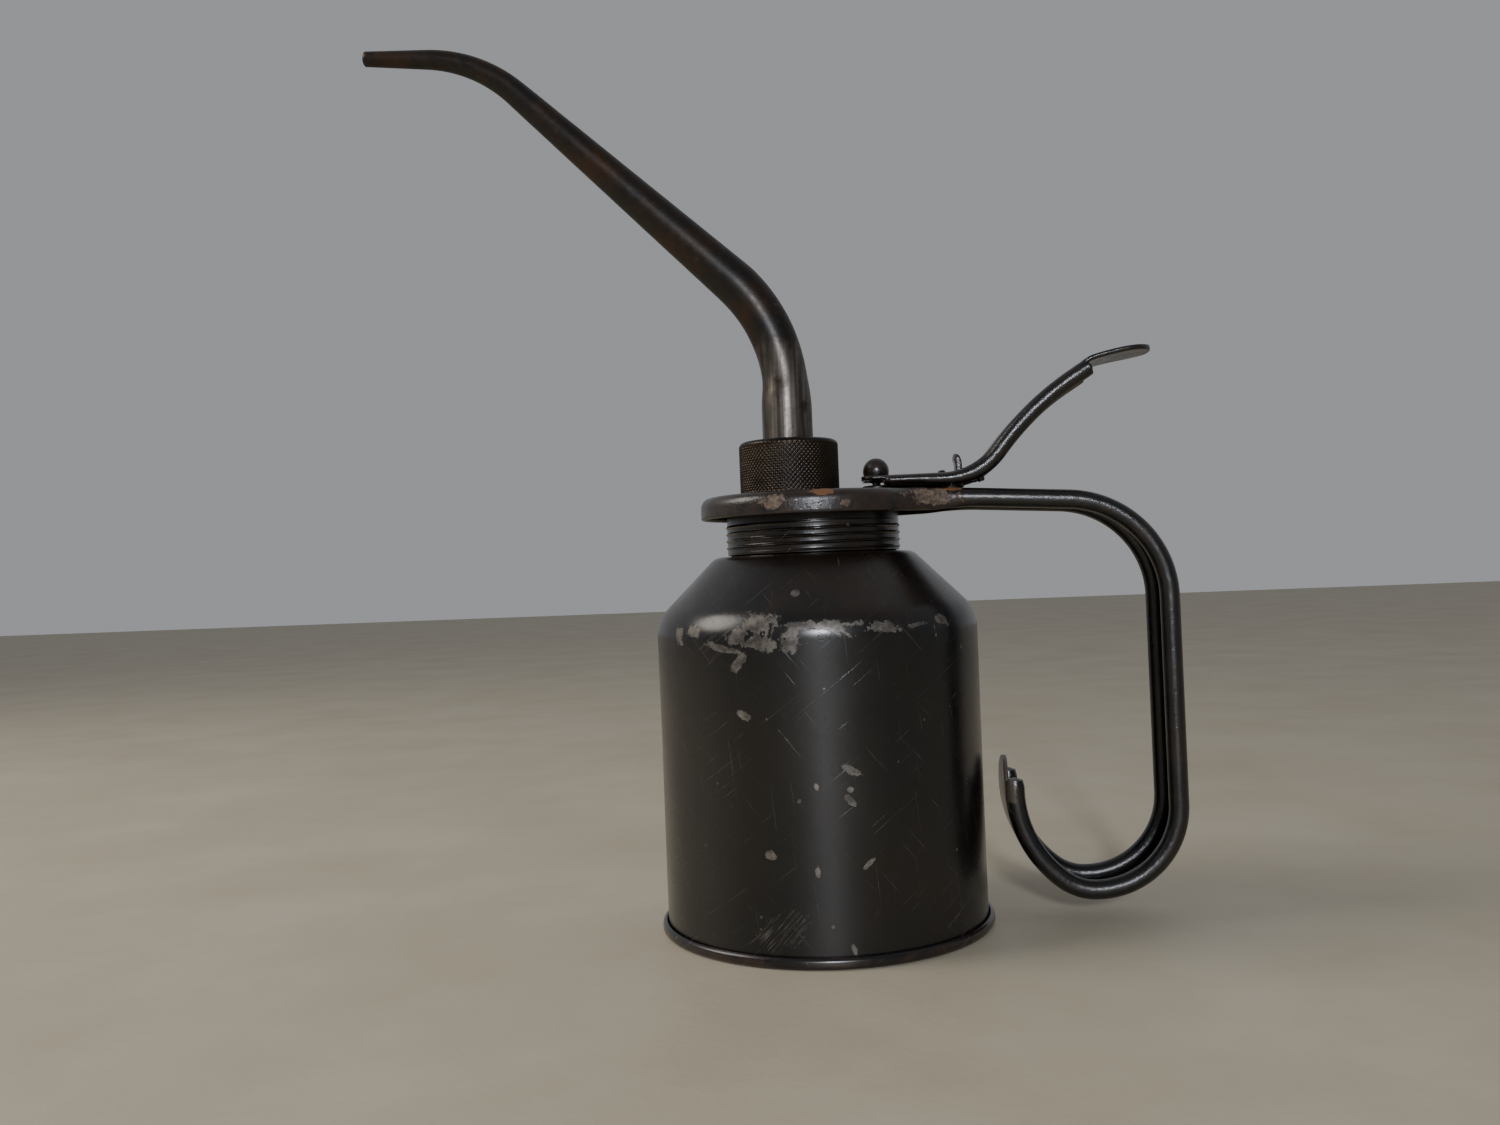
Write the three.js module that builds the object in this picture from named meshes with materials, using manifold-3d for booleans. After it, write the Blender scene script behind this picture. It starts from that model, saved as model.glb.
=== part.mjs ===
// Thumb-pump oil can: a drawn sheet-steel can with a screw cap that carries a J-shaped hand grip,
// a rocking thumb lever, a small lift pump and a bent tapered spout.
// Millimetres, +Z up. The origin is the can's axis at the level of the surface it stands on.
// +X points from the can towards the hand grip, so the spout leans towards -X.

import * as THREE from 'three';
import { mergeVertices } from 'three/addons/utils/BufferGeometryUtils.js';
import Module from 'manifold-3d';

const wasm = await Module();
wasm.setup();

const DEG = Math.PI / 180;

// ---------------------------------------------------------------- driving dimensions

const GAP = 0.3; // clearance between pieces that touch
const FINE = 40; // sides of the large round pieces
const MEDIUM = 24; // sides of the middle-sized round pieces
const SMALL = 12; // sides of the small round pieces
const BEND_STEP = 13 * DEG; // largest turn between two stations of a bent strip or tube

// can
const canRadius = 37.6;
const canWall = 0.5;
const canSideTop = 68.75; // where the straight side ends
const shoulderRadius = 9.3;
const flatWidth = 3.6; // flat ring around the screw cap, up to the 45 degree cone
const neckHeight = 10.7; // above the flat
const neckThreadDepth = 0.2;
const threadPitch = 1.6;
const threadTurns = 4;
const flatEdgeDrop = 0.6; // soft edge between the cone and the flat
const flatEdgeRun = 1.4;

// base
const rimOverhang = 1.4; // crimped rim beyond the side of the can
const rimHeight = 2.6;
const rimFootWidth = 2;
const rimUndercut = 0.8; // foot set in from the rim's widest line
const baseRecess = 1.6; // underside of the base above the foot
const baseSheet = 0.6;
const baseFlange = 2; // upturned edge inside the can
const canFoot = 1.2; // lower edge of the can's wall, inside the crimped rim

// screw cap
const capRadius = 20.3;
const capWall = 0.5;
const capRidge = 0.3; // how far each rolled thread ridge stands out
const capTopSheet = 0.8;
const gasketThickness = 0.6;
const capEdge = 1.2; // soft upper edge of the cap
const ridgeHalf = 0.55; // half the width of a rolled ridge

// grip plate and J-shaped grip
const plateOverhang = 6.05; // plate beyond the screw cap
const plateSheet = 1;
const plateRimHeight = 5.2;
const plateEdgeRadius = 2.4;
const neckFillet = 18; // blends the disc into the strip
const plateNeckRun = 3.53; // the deep rim runs this far beyond the fillet
const beadSpacing = 15.4; // centre to centre of the two rolled edges of the grip
const beadRadius = 2.2;
const gripBend = 25.1; // outer radius of the upper corner
const gripStart = 30; // where the strip starts, inside the plate
const gripLead = 0.5;
const gripDroopBend = 20;
const gripDroop = 3.6 * DEG; // the top bar falls away by this angle
const gripBarShort = 10.35; // the top bar's straight length is this much less than the can's radius
const gripFall = 46.9; // straight length of the back of the grip
const gripLean = 0.15 * DEG; // the back of the grip leans out by this angle
const gripFoot = 21.2; // outer radius of the lower corner
const gripToe = 14.2; // outer radius of the first part of the rising end
const gripToeTurn = 38 * DEG;
const gripRise = 28; // outer radius of the rest of the rising end
const gripRiseTurn = 51 * DEG;
const gripRiseRun = 2.8;
const gripTabLean = 9 * DEG;
const gripTabRun = 4.8; // flat tab at the end, beyond the rolled edges
const gripTabHalfWidth = 8.2;

// thumb lever
const leverBeadSpacing = 13.6;
const leverBeadRadius = 1.95;
const leverSheet = 1.2;
const leverFrontX = 12;
const leverFlat = 18.6; // flat front arm
const leverTop = 3.5; // top of the flat arm above the plate
const leverHeel = 14.6; // radius of the heel that rocks on the plate
const leverHeelTurn = 52.5 * DEG;
const leverRise = 68; // radius of the rising arm
const leverRiseTurn = 20.5 * DEG;
const leverRiseRun = 4.7;
const padKink = 6;
const padKinkTurn = 17 * DEG;
const padRadius = 63;
const padTurn = 12.5 * DEG;
const padHalfWidth = 8.4;
const padEndRun = 7; // length of the rounded end of the pad
const leverBlendIn = 6.5; // length in front of the heel over which the beads deepen
const leverBlendOut = 8; // and length behind the start of the heel
const leverFrontDepth = 0.64; // the beads are flattened to this share at the front
const leverHeelDepth = 0.74; // and to this share where the heel starts
const leverBeadStart = 5.3; // the beads start this far behind the front edge
const forkEndRound = 3; // rounding of the front edge
const hookHoleFront = 2.7; // hole for the hook, measured from the hook's plane
const hookHoleBack = 1.3;
const hookHoleSide = 0.5;
const lipRadius = 1.1; // small stop in front of the hook
const lipSpread = 2.4; // the stop is this much wider than long
const lipX = 31.2;
const pivotX = 36.5; // the line on which the heel rocks

// fulcrum hook
const hookX = 34.7;
const hookSheet = 1.5;
const hookWidth = 7;
const hookFoot = 5.9;
const hookBend = 1.6;
const hookUpright = 5.85;
const rivetX = 29.6;
const rivetRadius = 1.1;
const rivetHead = 2.2;
const rivetHeadHeight = 1.4;
const rivetTail = 2; // upset end below the plate
const rivetTailHeight = 0.9;
const hookLean = 22 * DEG;
const hookLeanRadius = 4;
const hookCurl = 48 * DEG;
const hookCurlRadius = 1.3;

// pump
const pumpX = 15.5; // plunger axis
const ballRadius = 3.15;
const rodRadius = 1;
const barrelRadius = 2.35;
const barrelBore = 1.75;
const barrelLength = 32;
const headHeight = 12;
const suctionRadius = 2.2;
const suctionBore = 1.6;
const suctionFoot = 7; // lower end of the suction tube above the ground
const inletBallRadius = 1.1;
const outletBallRadius = 1.9;
const glandHeadRadius = 3.4;
const glandHeadHeight = 1.2;
const packingDepth = 4.7; // seat of the packing below the top of the head
const packingHeight = 1.3;
const channelDrop = 1.3; // cross passage below the packing seat
const channelRadius = 0.8;
const headWeb = 1.2; // from the cross passage down to the barrel's socket
const seatDepth = 2.7; // inlet ball's seat below the top of its housing
const seatBore = 0.8;
const seatChamber = 1.5;
const seatHousing = 5.7; // length of the housing that stands below the barrel
const seatSpigot = 3.5; // length of the spigot inside the suction tube
const seatSpigotRadius = 1.3;
const ballLift = 0.15; // rest gap between a valve ball and its seat
const outletSeatRise = 1.6; // outlet ball's seat above the cross passage
const outletSeatBore = 1.2;
const outletSpringRoom = 4; // from the outlet ball up to the step in the boss
const pistonRise = 9.5; // top of the piston above the lower end of the barrel, at rest
const pistonHeight = 2.4;
const pistonRadius = 1.5;
const pistonSocket = 1.8; // depth of the rod's socket
const spigotLength = 2.4;
const spigotRadius = 0.8;
const cupHeight = 1.3;
const cupRadius = 1.6;
const pistonNutHeight = 0.8;
const pistonNutRadius = 1.45;

// spout
const spoutX = -5; // axis of the boss, nut and spout foot
const headSpoutRadius = 7.5; // end of the head around the outlet
const bossRadius = 9.2;
const bossHeight = 7.5;
const bossStem = 4.9;
const bossBore = 1.6;
const springBore = 2.6;
const bossSocket = 2; // depth of the boss's stem in the head
const bossEdge = 0.4;
const washerThickness = 1;
const washerBore = 3.2;
const nutClearance = 0.4; // nut above the plate
const nutEdge = 1.4; // rounded upper edge
const nutRadius = 11.8;
const nutHeight = 12.6;
const nutWall = 2;
const spoutFootRadius = 6;
const spoutRadius = 5.35;
const spoutTipRadius = 1.8;
const spoutWall = 0.6;
const spoutFootEnd = 12; // distances along the tube: the wide foot ends,
const spoutFootBlend = 18; // the plain tube starts,
const spoutTaperStart = 44; // and the taper starts
const spoutRise = 14.7; // straight foot below the first bend
const spoutBend = 38.7;
const spoutBendTurn = 46.3 * DEG;
const spoutRun = 70.6; // straight slanted length
const spoutTopBend = 36;
const spoutTopTurn = 38.8 * DEG;
const spoutTip = 15.8;

// ---------------------------------------------------------------- derived sizes

const coneTopRadius = capRadius + flatWidth;
const plateRadius = capRadius + plateOverhang;
const gripBar = canRadius - gripBarShort; // keeps the rising end clear of the can
const glandTop = GAP + glandHeadHeight; // above the plate
const ballRise = glandTop + GAP + ballRadius - leverTop; // centre of the ball above the lever's top face
const forkHalfWidth = Math.sqrt(ballRadius ** 2 - ballRise ** 2) + GAP; // the slot that carries the ball
const canTop = canSideTop + shoulderRadius * Math.SQRT1_2
  + (canRadius - shoulderRadius * (1 - Math.SQRT1_2) - coneTopRadius) + flatEdgeDrop;
const neckTop = canTop + neckHeight;
const capTopUnder = neckTop + gasketThickness + 2 * GAP;
const capTop = capTopUnder + capTopSheet;
const plateTop = capTop + GAP + plateSheet;
const plateUnder = plateTop - plateSheet;
const headTop = capTopUnder - gasketThickness - 2 * GAP;
const headFoot = headTop - headHeight;
const packingSeat = headTop - packingDepth;
const channelZ = packingSeat - channelDrop; // cross passage from pump to outlet
const chamberFoot = channelZ - headWeb;
const barrelTop = chamberFoot - GAP;
const barrelFoot = barrelTop - barrelLength;
const bossFoot = plateTop + GAP;
const bossTop = bossFoot + bossHeight;
const leverTopZ = plateTop + leverTop;
const ballZ = leverTopZ + ballRise;
const neckRadius = capRadius - capWall - GAP - neckThreadDepth;
const rimRadius = canRadius + rimOverhang;
const neckInner = neckRadius - canWall;
const headPumpRadius = neckInner * Math.cos(Math.PI / FINE) - GAP / 2 - pumpX; // head around the pump

// ---------------------------------------------------------------- geometry helpers

// A geometry whose shared vertices are merged and whose empty triangles are dropped.
function closed(geometry) {
  const bare = new THREE.BufferGeometry();
  bare.setAttribute('position', geometry.getAttribute('position').clone());
  if (geometry.index) bare.setIndex(geometry.index.clone());
  const merged = mergeVertices(bare, 1e-4);
  const kept = [];
  const index = merged.index.array;
  for (let i = 0; i < index.length; i += 3) {
    const [a, b, c] = [index[i], index[i + 1], index[i + 2]];
    if (a !== b && b !== c && c !== a) kept.push(a, b, c);
  }
  merged.setIndex(kept);
  return merged;
}

function toSolid(geometry) {
  const mesh = closed(geometry);
  return new wasm.Manifold(new wasm.Mesh({
    numProp: 3,
    vertProperties: new Float32Array(mesh.getAttribute('position').array),
    triVerts: new Uint32Array(mesh.index.array),
  }));
}

function toGeometry(solid) {
  const mesh = solid.getMesh();
  const geometry = new THREE.BufferGeometry();
  geometry.setAttribute('position', new THREE.BufferAttribute(new Float32Array(mesh.vertProperties), 3));
  geometry.setIndex(new THREE.BufferAttribute(new Uint32Array(mesh.triVerts), 1));
  return geometry;
}

const join = (...parts) => toGeometry(parts.map(toSolid).reduce((all, one) => all.add(one)));

const cut = (body, ...tools) => toGeometry(
  tools.map(toSolid).reduce((rest, tool) => rest.subtract(tool), toSolid(body)));

// A solid of revolution about the vertical line x = axisX. The profile is a list of [radius, z],
// up the outside and down the inside.
function turned(profile, sides, axisX = 0) {
  const points = profile.map(([radius, z]) => new THREE.Vector2(radius, z));
  const geometry = new THREE.LatheGeometry(points, sides);
  geometry.rotateX(Math.PI / 2);
  geometry.translate(axisX, 0, 0);
  return closed(geometry);
}

const rod = (radius, foot, top, sides, axisX = 0) =>
  turned([[0, foot], [radius, foot], [radius, top], [0, top]], sides, axisX);

const ring = (inner, outer, foot, top, sides, axisX = 0) =>
  turned([[inner, foot], [outer, foot], [outer, top], [inner, top], [inner, foot]], sides, axisX);

// Points on an arc of a turned profile, from one angle to another about [radius, z].
function arcPoints(centreRadius, centreZ, radius, from, to, count) {
  const points = [];
  for (let i = 0; i <= count; i += 1) {
    const angle = from + (to - from) * i / count;
    points.push([centreRadius + radius * Math.cos(angle), centreZ + radius * Math.sin(angle)]);
  }
  return points;
}

function block(x0, x1, halfWidth, z0, z1) {
  const geometry = new THREE.BoxGeometry(x1 - x0, 2 * halfWidth, z1 - z0);
  geometry.translate((x0 + x1) / 2, 0, (z0 + z1) / 2);
  return geometry;
}

// A plan outline pushed straight up from z0 to z1.
function slab(shape, z0, z1) {
  const options = { depth: z1 - z0, bevelEnabled: false, curveSegments: 16 };
  const geometry = new THREE.ExtrudeGeometry(shape, options);
  geometry.translate(0, 0, z0);
  return geometry;
}

// A path in the XZ plane made of straight runs and arcs, measured by its length.
class BentPath {
  constructor(x, z, heading) {
    this.parts = [];
    this.end = { x, z, heading };
    this.length = 0;
  }

  add(length, curvature) {
    this.parts.push({ ...this.end, length, curvature, start: this.length });
    this.length += length;
    this.end = this.at(this.length);
    return this;
  }

  line(length) {
    return this.add(length, 0);
  }

  // turn > 0 bends to the left of the heading, turn < 0 to the right
  arc(radius, turn) {
    return this.add(radius * Math.abs(turn), Math.sign(turn) / radius);
  }

  at(distance) {
    const part = this.parts.filter((one) => one.start <= distance + 1e-9).pop() ?? this.parts[0];
    const run = distance - part.start;
    const heading = part.heading + run * part.curvature;
    if (part.curvature === 0) {
      return { x: part.x + run * Math.cos(heading), z: part.z + run * Math.sin(heading), heading };
    }
    return {
      x: part.x + (Math.sin(heading) - Math.sin(part.heading)) / part.curvature,
      z: part.z - (Math.cos(heading) - Math.cos(part.heading)) / part.curvature,
      heading,
    };
  }

  // Lengths between from and to at which a bent piece needs a cross-section.
  stations(from, to, extra = []) {
    const marks = [from, to, ...extra];
    for (const part of this.parts) {
      const pieces = Math.max(1, Math.ceil(Math.abs(part.length * part.curvature) / BEND_STEP));
      for (let i = 0; i <= pieces; i += 1) marks.push(part.start + part.length * i / pieces);
    }
    const inside = marks.filter((mark) => mark >= from && mark <= to).sort((a, b) => a - b);
    return inside.filter((mark, i) => i === 0 || mark - inside[i - 1] > 0.05);
  }
}

// A cross-section carried along a path. form turns a point of the section at a given length into
// [offset to the left of the path, offset across it].
function swept(section, path, stations, form = (u, w) => [u, w], curveSegments = 6) {
  const steps = stations.length - 1;
  const options = { depth: steps, steps, bevelEnabled: false, curveSegments };
  const geometry = new THREE.ExtrudeGeometry(section, options);
  const position = geometry.getAttribute('position');
  for (let i = 0; i < position.count; i += 1) {
    const distance = stations[Math.round(position.getZ(i))];
    const [u, w] = form(position.getX(i), position.getY(i), distance);
    const { x, z, heading } = path.at(distance);
    position.setXYZ(i, x - u * Math.sin(heading), -w, z + u * Math.cos(heading));
  }
  return closed(geometry);
}

// Section of a sheet strip with both edges rolled under into beads.
function beadedSection(spacing, bead, sheet) {
  const half = spacing / 2;
  const meet = Math.acos((bead - sheet) / bead);
  const shape = new THREE.Shape();
  shape.moveTo(0, -half);
  shape.lineTo(0, half);
  shape.absarc(-bead, half, bead, 0, 2 * Math.PI - meet, false);
  shape.lineTo(-sheet, -half + bead * Math.sin(meet));
  shape.absarc(-bead, -half, bead, meet, 2 * Math.PI, false);
  return shape;
}

// Section of a flat strip whose upper face lies on the path.
function flatSection(halfWidth, sheet) {
  const shape = new THREE.Shape();
  shape.moveTo(0, -halfWidth);
  shape.lineTo(0, halfWidth);
  shape.lineTo(-sheet, halfWidth);
  shape.lineTo(-sheet, -halfWidth);
  shape.closePath();
  return shape;
}

// Share of the full width left at a distance from the end of a rounded tab.
const roundedEnd = (toEnd, run) => (toEnd >= run ? 1 : Math.sqrt(Math.max(0.06, 1 - (1 - toEnd / run) ** 2)));

// Extra stations near a rounded end.
const endStations = (end, run) => [0.02, 0.08, 0.2, 0.4, 0.7, 1].map((share) => end - share * run);

// ---------------------------------------------------------------- can and base

function canProfile(inset, foot, top) {
  const side = canRadius - inset;
  const corner = shoulderRadius - inset;
  const cornerCentre = canRadius - shoulderRadius;
  const flat = canTop - inset;
  const neck = neckRadius - inset;
  const coneEnd = coneTopRadius - inset * Math.tan(22.5 * DEG);
  return [
    [side, foot],
    ...arcPoints(cornerCentre, canSideTop, corner, 0, 45 * DEG, 3),
    [coneEnd, canTop - flatEdgeDrop - inset + inset * Math.tan(22.5 * DEG)],
    [coneEnd - flatEdgeRun, flat],
    [neck, flat],
    [neck, top],
  ];
}

function canBody() {
  const outside = canProfile(0, canFoot, neckTop);
  const rings = [];
  for (let turn = 0; turn < threadTurns; turn += 1) {
    const z = canTop + threadPitch * (0.9 + turn);
    const half = threadPitch / 4;
    rings.push([neckRadius, z - half], [neckRadius + neckThreadDepth, z], [neckRadius, z + half]);
  }
  outside.splice(outside.length - 1, 0, ...rings);
  const inside = canProfile(canWall, canFoot, neckTop).reverse();
  return turned([...outside, ...inside, outside[0]], FINE);
}

function basePlate() {
  const wallIn = canRadius - canWall - GAP;
  const wallOut = canRadius + GAP;
  const footIn = rimRadius - rimFootWidth - rimUndercut;
  const footOut = footIn + rimFootWidth;
  return turned([
    [0, baseRecess],
    [footIn - 0.6, baseRecess],
    [footIn, baseRecess - 0.4],
    [footIn, 0],
    [footOut, 0],
    [rimRadius - 0.1, 0.5],
    [rimRadius, 1.2],
    [rimRadius - 0.1, rimHeight - 0.6],
    [rimRadius - 0.5, rimHeight],
    [wallOut, rimHeight],
    [wallOut, canFoot - GAP],
    [wallIn, canFoot - GAP],
    [wallIn, baseRecess + baseSheet + baseFlange],
    [wallIn - baseSheet, baseRecess + baseSheet + baseFlange],
    [wallIn - baseSheet, baseRecess + baseSheet],
    [0, baseRecess + baseSheet],
  ], FINE);
}

// ---------------------------------------------------------------- screw cap

function screwCap() {
  const foot = canTop + GAP;
  const inner = capRadius - capWall;
  const ridges = [];
  for (let turn = 0; turn < threadTurns; turn += 1) {
    const z = foot + ridgeHalf + GAP + turn * threadPitch;
    ridges.push([capRadius, z - ridgeHalf], [capRadius + capRidge, z], [capRadius, z + ridgeHalf]);
  }
  const shell = turned([
    [inner, foot],
    [capRadius, foot],
    ...ridges,
    [capRadius, capTop - capEdge],
    [capRadius - 0.3 * capEdge, capTop - 0.3 * capEdge],
    [capRadius - capEdge, capTop],
    [0, capTop],
    [0, capTopUnder],
    [inner, capTopUnder],
    [inner, foot],
  ], FINE);
  return cut(
    shell,
    rod(bossStem + GAP, capTopUnder - 1, capTop + 1, MEDIUM, spoutX),
    rod(barrelRadius + GAP, capTopUnder - 1, capTop + 1, SMALL, pumpX),
  );
}

const capGasket = () => ring(
  neckInner - 0.05, capRadius - capWall - GAP, neckTop + GAP, capTopUnder - GAP, FINE);

// ---------------------------------------------------------------- grip plate and grip

// The disc and its blend into the strip, drawn in from its real edge by inset.
function platePlan(inset) {
  const radius = plateRadius - inset;
  const half = beadSpacing / 2 + beadRadius - inset;
  const fillet = neckFillet + inset;
  const centreY = half + fillet;
  const centreX = Math.sqrt((radius + fillet) ** 2 - centreY ** 2);
  const angle = Math.atan2(centreY, centreX);
  const shape = new THREE.Shape();
  shape.absarc(0, 0, radius, angle, 2 * Math.PI - angle, false);
  shape.absarc(centreX, -centreY, fillet, Math.PI - angle, Math.PI / 2, true);
  shape.lineTo(centreX + plateNeckRun - inset, -half);
  shape.lineTo(centreX + plateNeckRun - inset, half);
  shape.absarc(centreX, centreY, fillet, -Math.PI / 2, -Math.PI + angle, true);
  return shape;
}

// The plan with a rounded upper edge, from below the rim up to top.
function plateDome(inset, top, edge) {
  const foot = plateTop - plateRimHeight - 6;
  const geometry = new THREE.ExtrudeGeometry(platePlan(inset), {
    depth: top - foot - 2 * edge,
    bevelEnabled: true,
    bevelThickness: edge,
    bevelSize: edge,
    bevelOffset: -edge,
    bevelSegments: 2,
    curveSegments: 9,
  });
  geometry.translate(0, 0, foot + edge);
  return geometry;
}

function gripPath() {
  return new BentPath(gripStart, plateTop, 0)
    .line(gripLead)
    .arc(gripDroopBend, -gripDroop)
    .line(gripBar)
    .arc(gripBend, gripDroop + gripLean - Math.PI / 2)
    .line(gripFall)
    .arc(gripFoot, -gripLean - Math.PI / 2)
    .arc(gripToe, -gripToeTurn)
    .arc(gripRise, -gripRiseTurn)
    .line(gripRiseRun)
    .arc(gripTabRun / gripTabLean, -gripTabLean);
}

function handlePlate() {
  const path = gripPath();
  const beadEnd = path.length - gripTabRun + 0.6;
  const strip = swept(beadedSection(beadSpacing, beadRadius, plateSheet), path, path.stations(0, beadEnd));
  const tab = swept(
    flatSection(gripTabHalfWidth, plateSheet),
    path,
    path.stations(beadEnd - 0.3, path.length, endStations(path.length, gripTabHalfWidth)),
    (u, w, distance) => [u, w * roundedEnd(path.length - distance, gripTabHalfWidth)],
  );
  const shell = cut(
    plateDome(0, plateTop, plateEdgeRadius),
    plateDome(plateSheet, plateUnder, plateEdgeRadius - plateSheet),
    block(-40, 60, 40, plateTop - plateRimHeight - 10, plateTop - plateRimHeight),
  );
  return cut(
    join(shell, strip, tab),
    rod(bossStem + GAP, plateUnder - 1, plateTop + 1, MEDIUM, spoutX),
    rod(barrelRadius + GAP, plateUnder - 1, plateTop + 1, SMALL, pumpX),
    rod(rivetRadius + GAP, plateUnder - 1, plateTop + 1, SMALL, rivetX),
    block(hookX - 1.4, hookX + 1.2, hookWidth / 2 + GAP, plateUnder - 1, plateTop + 1),
  );
}

// ---------------------------------------------------------------- fulcrum hook and rivet

function fulcrumHook() {
  const footZ = plateUnder - GAP;
  const footStart = hookX - hookBend - hookFoot;
  const path = new BentPath(footStart, footZ - hookSheet / 2, 0)
    .line(hookFoot)
    .arc(hookBend, Math.PI / 2)
    .line(hookUpright)
    .arc(hookLeanRadius, hookLean)
    .arc(hookCurlRadius, hookCurl);
  const strip = new THREE.Shape();
  strip.moveTo(hookSheet / 2, -hookWidth / 2);
  strip.lineTo(hookSheet / 2, hookWidth / 2);
  strip.lineTo(-hookSheet / 2, hookWidth / 2);
  strip.lineTo(-hookSheet / 2, -hookWidth / 2);
  strip.closePath();
  return cut(
    swept(strip, path, path.stations(0, path.length)),
    rod(rivetRadius + GAP, footZ - 3, footZ + 0.2, SMALL, rivetX),
  );
}

function fulcrumRivet() {
  const footUnder = plateUnder - GAP - hookSheet;
  const tailFoot = footUnder - GAP - rivetTailHeight;
  const headTopZ = plateTop + rivetHeadHeight;
  return turned([
    [0, tailFoot],
    [0.8 * rivetTail, tailFoot + 0.1],
    [rivetTail, footUnder - GAP],
    [rivetRadius, footUnder - GAP],
    [rivetRadius, plateTop + GAP],
    [rivetHead, plateTop + GAP],
    [0.77 * rivetHead, headTopZ - 0.3],
    [0.36 * rivetHead, headTopZ],
    [0, headTopZ],
  ], SMALL, rivetX);
}

// ---------------------------------------------------------------- thumb lever

function leverPath() {
  return new BentPath(leverFrontX, leverTopZ, 0)
    .line(leverFlat)
    .arc(leverHeel, leverHeelTurn)
    .arc(leverRise, -leverRiseTurn)
    .line(leverRiseRun)
    .arc(padKink, -padKinkTurn)
    .arc(padRadius, -padTurn);
}

// How deep the beads are along the lever, as a share of their full depth.
function leverDepth(distance) {
  const slim = leverFlat - leverBlendIn;
  const full = leverFlat + leverBlendOut;
  if (distance <= slim) return leverFrontDepth;
  if (distance <= leverFlat) {
    return leverFrontDepth + (leverHeelDepth - leverFrontDepth) * (distance - slim) / (leverFlat - slim);
  }
  return Math.min(1, leverHeelDepth + (1 - leverHeelDepth) * (distance - leverFlat) / (full - leverFlat));
}

function thumbLever() {
  const path = leverPath();
  const heelEnd = leverFlat + leverHeel * leverHeelTurn;
  const beadEnd = heelEnd + leverRise * leverRiseTurn + leverRiseRun;
  const form = (u, w, distance) => [u * leverDepth(distance), w];
  const beads = swept(
    beadedSection(leverBeadSpacing, leverBeadRadius, leverSheet),
    path,
    path.stations(leverBeadStart, beadEnd, [leverFlat - leverBlendIn, leverFlat + leverBlendOut]),
    form,
  );
  const front = swept(
    flatSection(leverBeadSpacing / 2, leverSheet),
    path,
    path.stations(0, leverBeadStart + 0.4, [0.1, 0.3, 0.7, 1].map((share) => share * forkEndRound)),
    (u, w, distance) => [
      u * leverDepth(distance),
      w * (0.3 + 0.7 * roundedEnd(distance, forkEndRound)),
    ],
  );
  const pad = swept(
    flatSection(padHalfWidth, leverSheet),
    path,
    path.stations(beadEnd - 0.3, path.length, endStations(path.length, padEndRun)),
    (u, w, distance) => [u, w * (0.25 + 0.75 * roundedEnd(path.length - distance, padEndRun))],
  );
  const slotEnd = pumpX + 0.5;
  const lip = turned([
    [0, leverTopZ - 0.5],
    [lipRadius, leverTopZ - 0.5],
    [0.8 * lipRadius, leverTopZ + 0.4],
    [0.4 * lipRadius, leverTopZ + 0.8],
    [0, leverTopZ + 0.8],
  ], SMALL, lipX);
  lip.scale(1, lipSpread, 1);
  const through = 2 * leverBeadRadius; // the openings are cut this far above and below
  return cut(
    join(beads, front, pad, lip),
    block(leverFrontX - 5, slotEnd, forkHalfWidth, leverTopZ - through, leverTopZ + through),
    rod(forkHalfWidth, leverTopZ - through, leverTopZ + through, MEDIUM, slotEnd),
    block(
      hookX - hookHoleFront,
      hookX + hookHoleBack,
      hookWidth / 2 + hookHoleSide,
      leverTopZ - 2 * leverSheet,
      leverTopZ + through,
    ),
  );
}

// ---------------------------------------------------------------- pump

// Plan of the pump head: a wide end around the outlet, a narrow one around the pump.
function headPlan(inset) {
  const wide = headSpoutRadius - inset;
  const narrow = headPumpRadius - inset;
  const angle = Math.acos((wide - narrow) / (pumpX - spoutX));
  const shape = new THREE.Shape();
  shape.absarc(spoutX, 0, wide, angle, 2 * Math.PI - angle, false);
  shape.absarc(pumpX, 0, narrow, -angle, angle, false);
  return shape;
}

function pumpHead() {
  const channel = new THREE.CylinderGeometry(channelRadius, channelRadius, pumpX - spoutX, SMALL);
  channel.rotateZ(Math.PI / 2);
  channel.translate((pumpX + spoutX) / 2, 0, channelZ);
  return cut(
    slab(headPlan(0), headFoot, headTop),
    rod(barrelRadius + GAP, headFoot - 1, chamberFoot, SMALL, pumpX),
    rod(barrelBore, chamberFoot - 1, headTop, SMALL, pumpX),
    rod(barrelRadius + 0.1, packingSeat, headTop + 1, SMALL, pumpX),
    channel,
    rod(outletSeatBore, channelZ, headTop, SMALL, spoutX),
    rod(springBore, channelZ + outletSeatRise, headTop, MEDIUM, spoutX),
    rod(bossStem + GAP, headTop - bossSocket - GAP, headTop + 1, MEDIUM, spoutX),
  );
}

const headGasket = () => cut(
  slab(headPlan(GAP), headTop + GAP, capTopUnder - GAP),
  rod(bossStem + GAP, headTop - 1, capTop, MEDIUM, spoutX),
  rod(barrelRadius + 0.2, headTop - 1, capTop, SMALL, pumpX),
);

const pumpBarrel = () => ring(barrelBore, barrelRadius, barrelFoot, barrelTop, SMALL, pumpX);

function inletSeat() {
  const top = barrelFoot - GAP;
  const seat = top - seatDepth;
  const shoulder = top - seatHousing;
  const foot = shoulder - seatSpigot;
  return turned([
    [seatBore, foot],
    [seatSpigotRadius, foot],
    [seatSpigotRadius, shoulder],
    [barrelRadius, shoulder],
    [barrelRadius, top],
    [seatChamber, top],
    [seatChamber, seat],
    [seatBore, seat],
    [seatBore, foot],
  ], SMALL, pumpX);
}

const suctionTube = () => ring(
  suctionBore, suctionRadius, suctionFoot, barrelFoot - seatHousing - 2 * GAP, SMALL, pumpX);

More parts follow.
